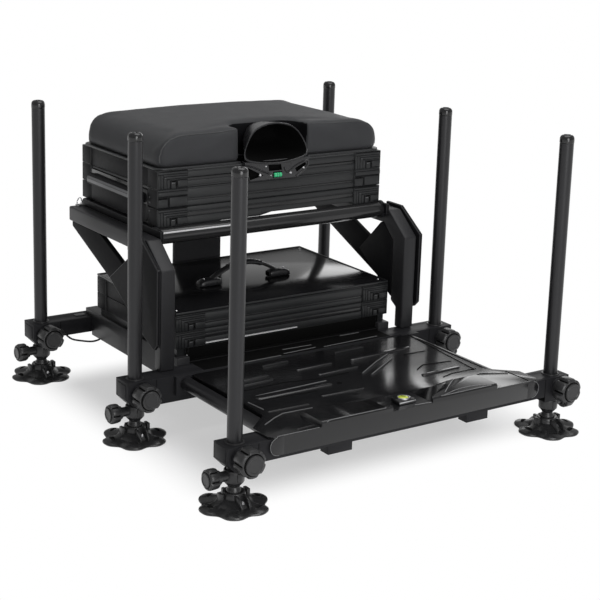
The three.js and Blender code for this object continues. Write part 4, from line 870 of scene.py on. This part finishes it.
# Lower unit: its lid's rim, and the carry handle between its two feet
LID_RIM = [
    ((-237, 237), (29.6, 32)), ((-237, 237), (338, 340.4)), ((-237.4, -235), (30, 340)), ((235, 237.4), (30, 340)),
]
LID_TOP = 205.9
CARRY_CENTRE, CARRY_SPAN, CARRY_Y, CARRY_BASE = -10, 204, 166, 206.2
CARRY_FOOT_LENGTH = 46
# Sections of a handle's foot: share of its length, height and half its width
CARRY_FOOT = [(0.0, 6, 8), (0.06, 10, 10.5), (0.25, 14, 12), (0.6, 15, 12), (0.9, 14, 11.5), (1.0, 11.5, 10.5)]
ROUNDING = 0.6
STRAP_HALF, STRAP_RISE, STRAP_BASE = 79, 28, 215.2


def rounded(value):
    return math.copysign(abs(value) ** ROUNDING, value)


def make_carry_handle():
    carry = Shape(CUP)
    for side in (-1, 1):
        outer = CARRY_CENTRE + side * CARRY_SPAN / 2
        inner = CARRY_CENTRE + side * (CARRY_SPAN / 2 - CARRY_FOOT_LENGTH)
        rings = [[(outer + (inner - outer) * share, CARRY_Y + half * rounded(math.cos(angle)),
                   CARRY_BASE + height / 2 + height / 2 * rounded(math.sin(angle))) for angle in turns(20)]
                 for share, height, half in CARRY_FOOT]
        carry.use(CUP).loft(rings)
        # A dark block at each foot's inner end, painted shade in the gap under the strap
        carry.use(PAINTED_SHADE).block(sorted((inner - side * 1.6, inner + side * 0.5)), (CARRY_Y - 7, CARRY_Y + 7),
                              (208.2, 217), 0.5)
        screw(carry, (outer - side * 12, CARRY_Y, 220.6), (0, 0, 1), 2.6, 0.8)
    strap = []
    for share in (k / 20 - 1 for k in range(41)):
        rise = STRAP_RISE * (1 - share * share) - 1.2 * abs(share)
        strap.append((CARRY_CENTRE + share * STRAP_HALF, CARRY_Y, STRAP_BASE + rise))
    carry.use(KNOB).sweep(strap, 8.5, 20, flat=0.42)
    grip = strap[11:30]
    carry.use(CUP).sweep(grip, [9.2 + 0.5 * math.cos(math.pi * k) for k in range(len(grip))], 20, flat=0.56)
    carry.make("carry_handle_strap", "lower_lid", "cup_plastic", "carry_handle")


def make_lower_unit():
    for solid, name, bottom, kind in LOWER_CASES:
        tray = Shape(CASE).copy(solid, 0.6)
        tray_strips(tray, LOWER, bottom, LOWER_LAYER, kind)
        corner_reliefs(tray, LOWER, bottom, LOWER_LAYER, WINDOW_PLATES)
        if kind == "bottom":
            # A pale line along the front near the bottom, a painted highlight
            tray.use(PALE_HIGHLIGHT).block((-175.5, 25), (29.4, 31.6), (142, 144.4), 0.4)
            # A dark skirt under the front, painted shade where the unit's underside lies in shadow
            tray.use(PAINTED_SHADE).block((-211, 211), (31, 34), (115.9, 139.4), 0.4)
            tray.block((-216, 216), (31.2, 34), (125.6, 139.4), 0.4)
        tray.make(name, "lower_unit", "gloss_case", solid)

    lid = Shape(LID).copy("lower_lid", 0.9)
    for x in (-226, 226):
        for y in (48, 322):
            screw(lid, (x, y, LID_TOP), (0, 0, 1), 2.6, 1.0)
    lid.use(CASE)
    for xs, ys in LID_RIM:
        lid.block(xs, ys, (203.2, 206.8), 0.5)
    lid.make("lower_lid_sheet", "lower_lid", "lid_plastic", "lower_lid")
    make_carry_handle()


make_lower_unit()

# Pole cup: a smooth hood that narrows and rises to the back, on its bracket with the level vial.
# Half of its mouth, as shares of its width and height
CUP_HALF = [
    (0.06, 0.998), (0.18, 0.957), (0.282, 0.885), (0.37, 0.75), (0.437, 0.57), (0.485, 0.38),
    (0.497, 0.23), (0.46, 0.13), (0.35, 0.07), (0.2, 0.02), (0.07, 0),
]
CUP_SHARES = [(-a, b) for a, b in reversed(CUP_HALF)] + CUP_HALF
CUP_WIDTH, CUP_HEIGHT, CUP_BOTTOM = 142, 76, 451.5
CUP_MOUTH, CUP_DEPTH, CUP_CENTRE = 67, 74, -5
CUP_NARROWING, CUP_RISE, CUP_LEAN = 0.5, 30, 12
# Rings of the hood's skin: how far inside the outline, and how far behind the mouth
CUP_OUTER = [
    (9, 73.6), (4.5, 73), (1.6, 70.5), (0.3, 66), (0, 58), (0, 40), (0, 22), (0, 6), (0, 2), (0.5, 0.5), (1.4, 0),
]
CUP_INNER = [(2.4, 0), (3.2, 0.8), (3.5, 2.4), (3.5, 20), (3.5, 40), (3.5, 60), (6, 67), (12, 70)]

# The bracket, its pockets painted dark as shade, and its raised arms, as (x, z) on its front
BRACKET = [(-60, 421.6), (43, 421.6), (58, 431), (69, 443), (71, 459), (-71, 459), (-70, 441)]
BRACKET_FRONT = 73.2
BRACKET_POCKETS = [
    [(-67.5, 449.5), (-30, 431), (-60, 424.6)],
    [(-21, 450.4), (7.4, 449.5), (10.3, 438.4), (-18.3, 438.4)],
    [(39, 439.3), (61.5, 449.1), (64.2, 444.6), (43.1, 431.5)],
]
BRACKET_ARMS = [
    [(-72, 453.4), (-54, 448.5), (-29.4, 437.9), (-18.2, 433.8)],
    [(15, 442.5), (23, 433.3), (42.6, 444.3), (65.2, 452), (68.2, 449), (67.4, 443.2), (57, 432.3), (42.6, 423.6)],
]
BRACKET_SCREWS = [(-37.8, 432.4, 2.6), (29.2, 431.6, 2.6), (58, 438.7, 2.2), (-26, 448, 1.8), (-14.4, 430, 1.6)]
VIAL_PLACE = (0, 73.2, 430)
VIAL = [(0, -8.4), (3.4, -8.4), (4.5, -7.4), (4.5, 7.4), (3.4, 8.4), (0, 8.4)]


def cup_ring(inset, along):
    width, height = CUP_WIDTH - 2 * inset, CUP_HEIGHT - 2 * inset
    outline = smooth_path([(a * width, b * height + inset) for a, b in CUP_SHARES], 4, closed=True)
    share = along / CUP_DEPTH
    narrow = 1 - CUP_NARROWING * share
    return [(CUP_CENTRE * (1 - share) + p.x * narrow,
             CUP_MOUTH + along + CUP_LEAN * (p.y / CUP_HEIGHT) * (1 - share),
             CUP_BOTTOM + p.y * narrow + CUP_RISE * share) for p in outline]


def make_pole_cup():
    cup = Shape(CUP)
    loops = cup.loops(cup_ring(*ring) for ring in CUP_OUTER + CUP_INNER)
    lip = len(CUP_OUTER) + 1
    cup.join(loops[:lip + 1])
    # The inside of the hood is near black, painted shade
    cup.use(CUP_INSIDE_SHADE).join(loops[lip:])
    cup.face(loops[-1])
    cup.use(CUP).face(loops[0][::-1])

    bracket = Shape(CUP).prism("y", BRACKET, (BRACKET_FRONT, 85.2), 1.2, 3).use(PAINTED_SHADE)
    # The pockets' cut walls take the painted shade
    pockets = Shape(CUP).use(PAINTED_SHADE)
    for outline in BRACKET_POCKETS:
        pockets.prism("y", outline, (60, 79))
    bracket.carve(pockets)
    cup.add(bracket)
    bracket.bm.free()
    for x, z, size in BRACKET_SCREWS:
        screw(cup, (x, 73.4, z), (0, -1, 0), size, 1.4)
    cup.use(CUP)
    for arm in BRACKET_ARMS:
        cup.sweep(smooth_path([(x, 72.8, z) for x, z in arm], 5), 1.9, 10)
    # A dark block above the vial, painted shade in the notch
    cup.use(PAINTED_SHADE).block((-11, 11), (72.6, 76), (424.2, 437), 1)
    cup.make("pole_cup_hood", "top_tray", "cup_plastic", "pole_cup")

    vial = Shape(GREEN).turn(VIAL, VIAL_PLACE, (1, 0, 0), 28).use(CAP)
    for low in (-2.6, 2.1):
        vial.turn(hoop(4.3, 4.75, low, low + 0.5), VIAL_PLACE, (1, 0, 0), 28)
    vial.make("cup_vial", "top_tray", "green_vial", "cup_level_vial")


make_pole_cup()

# Footplate: slide rails, glossy deck with embossed bars, raised pads and a bullseye level
RAIL = [(10, -308.7), (11.4, -308.7), (12, -308.1), (12, -32.9), (11.4, -32.3), (10, -32.3), (10, -308.7)]
DECK_TOP = 112.3
# Embossed bars on the deck: from, to, width, height
DECK_BARS = [
    ((-106, -57), (-52, -53), 4.5, 1.6), ((53, -57), (117, -53), 4.5, 1.6), ((-176, -105), (-126, -101), 5, 1.4),
    ((-189, -126), (-131, -123), 5, 1.4), ((-199, -191), (-60, -191), 17, 2.2), ((-222, -255), (-147, -257), 6, 1.4),
    ((-225, -344), (-180, -340), 5, 1.4), ((60, -100), (190, -96), 12, 1.6), ((-60, -100), (10, -98), 10, 1.4),
    ((-40, -140), (40, -138), 9, 1.2), ((120, -235), (200, -231), 9, 1.4), ((-100, -235), (-20, -238), 8, 1.4),
]
# Lines of painted highlight where edges would catch the light, and dark lines of painted shade, each a line along
# the deck's top
DECK_HIGHLIGHT_LINES = [
    [(-201, -182), (-52, -176)], [(40, -187), (126, -133)], [(29, -174), (91, -133), (133, -110)],
    [(-261, -303), (-230, -284), (-208, -274), (-150, -276)], [(-106, -55), (-52, -51)], [(53, -55), (117, -51)],
    [(8, -351), (41, -354)], [(213, -277), (258, -303)], [(-176, -103), (-126, -99)], [(-229, -202), (-225, -243)],
]
DECK_SHADE_LINES = [
    [(243, -32), (219, -256)], [(244, -60), (239, -254)], [(224, -254), (170, -253), (143, -261)],
    [(161, -126), (209, -127)], [(129, -205), (153, -190), (213, -198)], [(150, -281), (208, -281)],
    [(153, -279), (106, -288)], [(-51, -254), (-39, -261)], [(262, -293), (263, -329), (263, -355)],
    [(-240, -40), (-236, -250)], [(-205, -203), (-94, -211)], [(-214, -150), (-120, -146), (-60, -160), (10, -158)],
]
# Lines of painted highlight on the edges of the raised pads and of the front lip, and the lip's rounded end as (x,
# z)
PAD_HIGHLIGHT_LINES = [
    [(-271, -354.6, 112.2), (-230, -355, 112.2), (-190, -355, 112.2)],
    [(-186, -355, 113), (-180, -355, 116.4), (-172, -355, 120.6)],
    [(-172, -355, 121), (-125, -355.2, 121.2), (-57, -355.2, 121)],
    [(150, -281, 112.6), (108, -308, 112.8), (47, -352, 113)],
    [(134, -299, 121.2), (104, -322, 121.2), (78, -344, 121.2)],
    [(64, -355.4, 121.2), (112, -343, 121.4), (150, -346, 121.4), (170, -353, 121.2)],
    [(60, -355.4, 121), (120, -355.4, 121.2), (172, -355.4, 121)],
    [(190, -355, 112.2), (230, -355, 112.2), (266, -354.6, 112.2)],
]
LIP_END = [(258, 111.4), (271, 111.2), (279, 107.4), (284, 100), (283, 90), (277.4, 82.8), (268, 80.4), (258, 80.4)]
# What is cut off the pads: the right pad's corner as (x, y), the left pad's slope as (x, z)
PAD_CORNER = [(40, -352.6), (40, -284), (134, -284), (106, -310)]
PAD_SLOPE = [(-132, 121.8), (-57, 113.2), (-38, 113.2), (-38, 130), (-132, 130)]
LEVEL_PLACE = (0, -328, 112.6)
LEVEL_RIM = [(8.6, 6.6), (11, 6.6), (11, 8.6), (10.4, 9.2), (9.2, 9.2), (8.6, 8.4), (8.6, 6.6)]
LEVEL_VIAL = [(0, 5), (8.8, 5), (8.8, 8.4), (7.4, 9.6), (4, 10.4), (0, 10.6)]
LEVEL_RING = [(3.0, 10.2), (3.6, 10.2), (3.6, 10.75), (3.0, 10.85), (3.0, 10.2)]


def rounded_bar(a, b, width, height):
    a, b = Vector(a), Vector(b)
    along = (b - a).normalized()
    across = Vector((-along.y, along.x))
    rings = []
    for lift, scale in ((-0.6, 1.12), (0.0, 1.08), (height * 0.7, 0.9), (height, 0.62)):
        ring = []
        for end, start in ((b, -90), (a, 90)):
            for forth, out in arc((0, 0), width / 2 * scale, start, 22.5, 9):
                point = end + along * forth + across * out
                ring.append((point.x, point.y, DECK_TOP + lift))
        rings.append(ring)
    return rings


def make_footplate():
    for name, side in SIDES.items():
        rail = Shape(TUBE).turn(RAIL, (side * 250, 0, 98), (0, 1, 0), 48)
        rail.make(f"footplate_rail_{name}_tube", "footplate", "satin_tube", f"footplate_rail_{name}")

    deck = Shape(DECK).copy("footplate_deck", 1.0)
    slopes = Shape(DECK).prism("z", PAD_CORNER, (DECK_TOP + 0.6, 130))
    slopes.prism("y", PAD_SLOPE, (-352.6, -284))
    deck.carve(slopes)
    for a, b, width, height in DECK_BARS:
        deck.loft(rounded_bar(a, b, width, height))
    # Painted highlights along edges, pads and the lip's rounded end
    deck.use(RIDGE_HIGHLIGHT)
    for line in DECK_HIGHLIGHT_LINES:
        deck.sweep([(x, y, DECK_TOP + 0.5) for x, y in line], 1.1, 10, flat=0.8)
    for line in PAD_HIGHLIGHT_LINES:
        deck.sweep(smooth_path(line, 4), 0.9, 10, flat=0.8)
    for side in (-1, 1):
        end = [(side * x, z) for x, z in LIP_END]
        deck.use(RIDGE_HIGHLIGHT).sweep(smooth_path([(x, -356.2, z) for x, z in end[1:-1]], 4), 0.7, 10)
        deck.use(DECK).prism("y", end, (-356.4, -353.4), 0.8)
    # Dark lines and a dark dot of painted shade
    deck.use(PAINTED_SHADE)
    for line in DECK_SHADE_LINES:
        deck.sweep([(x, y, DECK_TOP) for x, y in line], 1.6, 10, flat=0.3)
    deck.turn(rod(4.5, -0.5, 0.25), (-38, -197, DECK_TOP), segments=24)
    deck.make("footplate_deck_sheet", "footplate", "lid_plastic", "footplate_deck")

    level = Shape(CAP).block((-17, 17), (-340, -316), (112.6, 119.6), 1.6, 3)
    level.use(STEEL).block((-17.6, 17.6), (-341, -339.4), (112.6, 118.2), 0.5)
    level.turn(LEVEL_RIM, LEVEL_PLACE, segments=40)
    level.use(YELLOW).turn(LEVEL_VIAL, LEVEL_PLACE, segments=40)
    level.use(CAP).turn(LEVEL_RING, LEVEL_PLACE, segments=32)
    level.make("footplate_bullseye", "footplate", "yellow_vial", "footplate_level")


make_footplate()

# Seat cushion: cloth-simulated from a slightly smaller copy of its solid, then piped and given its base plate
CUSHION_BOTTOM, CUSHION_TOP = 455.4, 524.4
CUSHION_SHRINK, CUSHION_TOP_SHRINK, CUSHION_BOTTOM_SHRINK = 3.0, 2.4, 2.6
NOTCH_NARROWING = 7
CUSHION_VOXEL = 0.005
CUSHION_STEPS = 20
CUSHION_CAP = 2.2
CLOTH = {
    "quality": 6, "mass": 0.35, "use_pressure": True, "uniform_pressure_force": 3.0, "tension_stiffness": 18,
    "compression_stiffness": 18, "shear_stiffness": 8, "bending_stiffness": 2.5,
}
NOTCH_BOX = (-77, 92, 0), (77, 150, CUSHION_TOP - 7)
# The base plate's outline round the notch
PLATE_HALF, PLATE_FRONT, PLATE_REAR, PLATE_CORNER = 247, 82, 385, 21
PLATE_NOTCH = [(-75, 82), (-75, 118), (-70, 131), (-56, 143), (56, 143), (70, 131), (75, 118), (75, 82)]
PIPING_ENDS = {86: 84, 381: 0}
PIPING_SIDE, PIPING_RADIUS = 204, 41


def apply_modifiers(obj):
    result, old = evaluated_mesh(obj), obj.data
    obj.modifiers.clear()
    obj.data = result
    bpy.data.meshes.remove(old)


def cushion_core():
    core = Shape(VINYL).copy("seat_cushion")
    for vert in core.bm.verts:
        x, y, z = vert.co
        if abs(x) > 200:
            vert.co.x = x - math.copysign(CUSHION_SHRINK, x)
        elif y < 160:
            vert.co.x = x - math.copysign(NOTCH_NARROWING, x)
        if y < 100:
            vert.co.y = y + CUSHION_SHRINK
        elif y < 160:
            vert.co.y = y - NOTCH_NARROWING
        elif y > 300:
            vert.co.y = y - CUSHION_SHRINK
        if z > CUSHION_BOTTOM + 20:
            vert.co.z = z - CUSHION_TOP_SHRINK
        elif z < CUSHION_BOTTOM + 1:
            vert.co.z = z + CUSHION_BOTTOM_SHRINK
    obj = link("seat_core", core.mesh("seat_core"))
    remesh = obj.modifiers.new("voxels", "REMESH")
    remesh.mode = "VOXEL"
    remesh.voxel_size = CUSHION_VOXEL
    apply_modifiers(obj)
    return obj


def swell(obj):
    low = (CUSHION_BOTTOM + 6) * MM
    pinned = obj.vertex_groups.new(name="pin")
    pinned.add([v.index for v in obj.data.vertices if v.co.z < low], 1.0, "REPLACE")
    before = [v.co.copy() for v in obj.data.vertices]
    cloth = obj.modifiers.new("cloth", "CLOTH")
    for name, value in CLOTH.items():
        setattr(cloth.settings, name, value)
    cloth.settings.effector_weights.gravity = 0
    cloth.settings.vertex_group_mass = "pin"
    cloth.point_cache.frame_start, cloth.point_cache.frame_end = 1, CUSHION_STEPS
    for step in range(1, CUSHION_STEPS + 1):
        SCENE.frame_set(step)
    apply_modifiers(obj)
    SCENE.frame_set(1)
    obj.vertex_groups.clear()
    for vert, start in zip(obj.data.vertices, before):
        move = vert.co - start
        if move.length > CUSHION_CAP * MM:
            vert.co = start + move.normalized() * (CUSHION_CAP * MM)


# The piping's line over the cushion at one end, from side to side or up to the notch
def piping_line(side, y, near):
    points = [(side * 244, y, 466), (side * 245.4, y, 476)]
    points += [(side * x, y, z) for x, z in arc((PIPING_SIDE, 476.5), PIPING_RADIUS, 0, 7.5, 13)]
    for k in range(1, 20):
        x = PIPING_SIDE - (PIPING_SIDE - near) * k / 19
        points.append((side * x, y, 517.2 + 6 * (1 - (x / PIPING_SIDE) ** 2)))
    return points


def make_cushion():
    pad = cushion_core()
    swell(pad)
    smooth = pad.modifiers.new("relax", "SMOOTH")
    smooth.factor = 0.5
    smooth.iterations = 12
    fine = pad.modifiers.new("fine", "SUBSURF")
    fine.levels = fine.render_levels = 1
    apply_modifiers(pad)
    pad.name = "seat_pad"
    for vert in pad.data.vertices:
        vert.co.z = max(vert.co.z, (CUSHION_BOTTOM + 0.2) * MM)
    pad.data.materials.clear()
    pad.data.materials.append(VINYL)
    pad.data.materials.append(NOTCH_SHADE)
    # The notch's walls are painted near black as shade
    notch_low, notch_high = (at(*corner) for corner in NOTCH_BOX)
    for face in pad.data.polygons:
        inside = all(low < value < high for low, value, high in zip(notch_low, face.center, notch_high))
        face.material_index = int(inside and face.normal.z < 0.6)
    pad.data.shade_smooth()
    dress(pad, "seat", "seat_cushion")

    surface = BVHTree.FromPolygons([v.co for v in pad.data.vertices], [p.vertices for p in pad.data.polygons])

    def on_skin(points, sink=0.2):
        found = (surface.find_nearest(at(*point)) for point in points)
        return [drawn(spot - normal * (sink * MM)) for spot, normal, _, _ in found]

    trim = Shape(PIPING)
    for y, near in PIPING_ENDS.items():
        for side in (-1, 1):
            trim.sweep(on_skin(piping_line(side, y, near)), 1.3, 8, hint=(0, 1, 0))
    plate = rounded_outline(PLATE_HALF, PLATE_FRONT, PLATE_REAR, PLATE_CORNER)
    plate[21:21] = PLATE_NOTCH
    trim.use(CASE).prism("z", plate, (455.5, 459.4), 0.9)
    trim.make("seat_trim", "seat", "seat_vinyl")


make_cushion()


# Small ring at the rear end of the left rail, leaning inwards
def make_ring():
    centre, lean = Vector((-262, 366, 347)), Vector((0.3, 0, 0.95))
    points = [centre + Vector((0, 8 * math.cos(angle), 0)) + lean * (8 * math.sin(angle)) for angle in turns(32)]
    ring = Shape(STEEL).sweep(points, 1.1, 10, closed=True, hint=(1, 0, 0))
    ring.use(KNOB).block((-268, -256), (360, 371.5), (339.4, 341.6), 0.6)
    ring.make("rail_ring", "base_frame", "extrusion")


make_ring()

# Stage and light. The floor shines for the camera, but less within the shadow's box round the object
FLOOR_HALF = 20000
FLOOR_COLOR = (0.86, 0.86, 0.87, 1)
WHITE = (1, 1, 1, 1)
SHADOW_HALF = (0.28, 0.27, 1)
SHADOW_FADE = 0.12
SHADOW_SHARE = 0.5
WORLD_DIFFUSE = 0.20
WORLD_GLOSSY = 0.42
# Lamps: name, place, target, size and power
LAMPS = [
    ("key", (0.35, -0.3, 2.6), (0, 0, 0.2), (2.0, 2.0), 30),
    ("front_fill", (-0.6, -2.65, 1.0), (0, 0, 0.3), (1.2, 1.4), 27),
    ("rear_glow", (2.15, 1.85, 0.8), (0.2, -0.2, 0.15), (1.1, 0.8), 4.5),
]


def seen_by_camera(tree):
    path = node(tree, "LightPath").outputs
    seen = compute(tree, "MAXIMUM", path["Is Camera Ray"], path["Is Glossy Ray"])
    return compute(tree, "MAXIMUM", seen, path["Is Transmission Ray"])


def make_stage():
    paint = bpy.data.materials.new("floor_white")
    paint.use_nodes = True
    tree = paint.node_tree
    shader = tree.nodes["Principled BSDF"]
    fill(tree, shader, {"Base Color": FLOOR_COLOR, "Roughness": 0.9, "Specular IOR Level": 0.1})
    glow = node(tree, "Emission", {"Color": WHITE})
    place = node(tree, "TexCoord").outputs["Object"]
    spread = node(tree, "VectorMath", {0: place}, operation="ABSOLUTE").outputs["Vector"]
    beyond = node(tree, "VectorMath", {0: spread, 1: SHADOW_HALF}, operation="SUBTRACT").outputs["Vector"]
    beyond = node(tree, "VectorMath", {0: beyond, 1: (0, 0, 0)}, operation="MAXIMUM").outputs["Vector"]
    distance = node(tree, "VectorMath", {0: beyond}, operation="LENGTH").outputs["Value"]
    fade = node(tree, "MapRange", {"Value": distance, "From Max": SHADOW_FADE, "To Min": SHADOW_SHARE},
                interpolation_type="SMOOTHSTEP")
    share = compute(tree, "MULTIPLY", fade.outputs["Result"], seen_by_camera(tree))
    mix = node(tree, "MixShader", {0: share, 1: shader.outputs["BSDF"], 2: glow.outputs["Emission"]})
    fill(tree, tree.nodes["Material Output"], {"Surface": mix.outputs["Shader"]})
    floor = Shape(paint).block((-FLOOR_HALF, FLOOR_HALF), (-FLOOR_HALF, FLOOR_HALF), (-60, -0.3))
    link("floor", floor.mesh("floor"))


def make_world():
    world = bpy.data.worlds.new("studio")
    SCENE.world = world
    world.use_nodes = True
    tree = world.node_tree
    path = node(tree, "LightPath").outputs
    level = compute(tree, "MULTIPLY_ADD", path["Is Glossy Ray"], WORLD_GLOSSY - WORLD_DIFFUSE, WORLD_DIFFUSE)
    strength = compute(tree, "MAXIMUM", path["Is Camera Ray"], level)
    fill(tree, tree.nodes["Background"], {"Color": WHITE, "Strength": strength})


def make_lamps():
    for name, place, target, size, power in LAMPS:
        data = bpy.data.lights.new(name, "AREA")
        data.shape = "RECTANGLE"
        data.size, data.size_y = size
        data.energy = power
        lamp = link(name, data)
        lamp.location = place
        lamp.rotation_euler = (Vector(target) - Vector(place)).to_track_quat("-Z", "Y").to_euler()


make_stage()
make_world()
make_lamps()
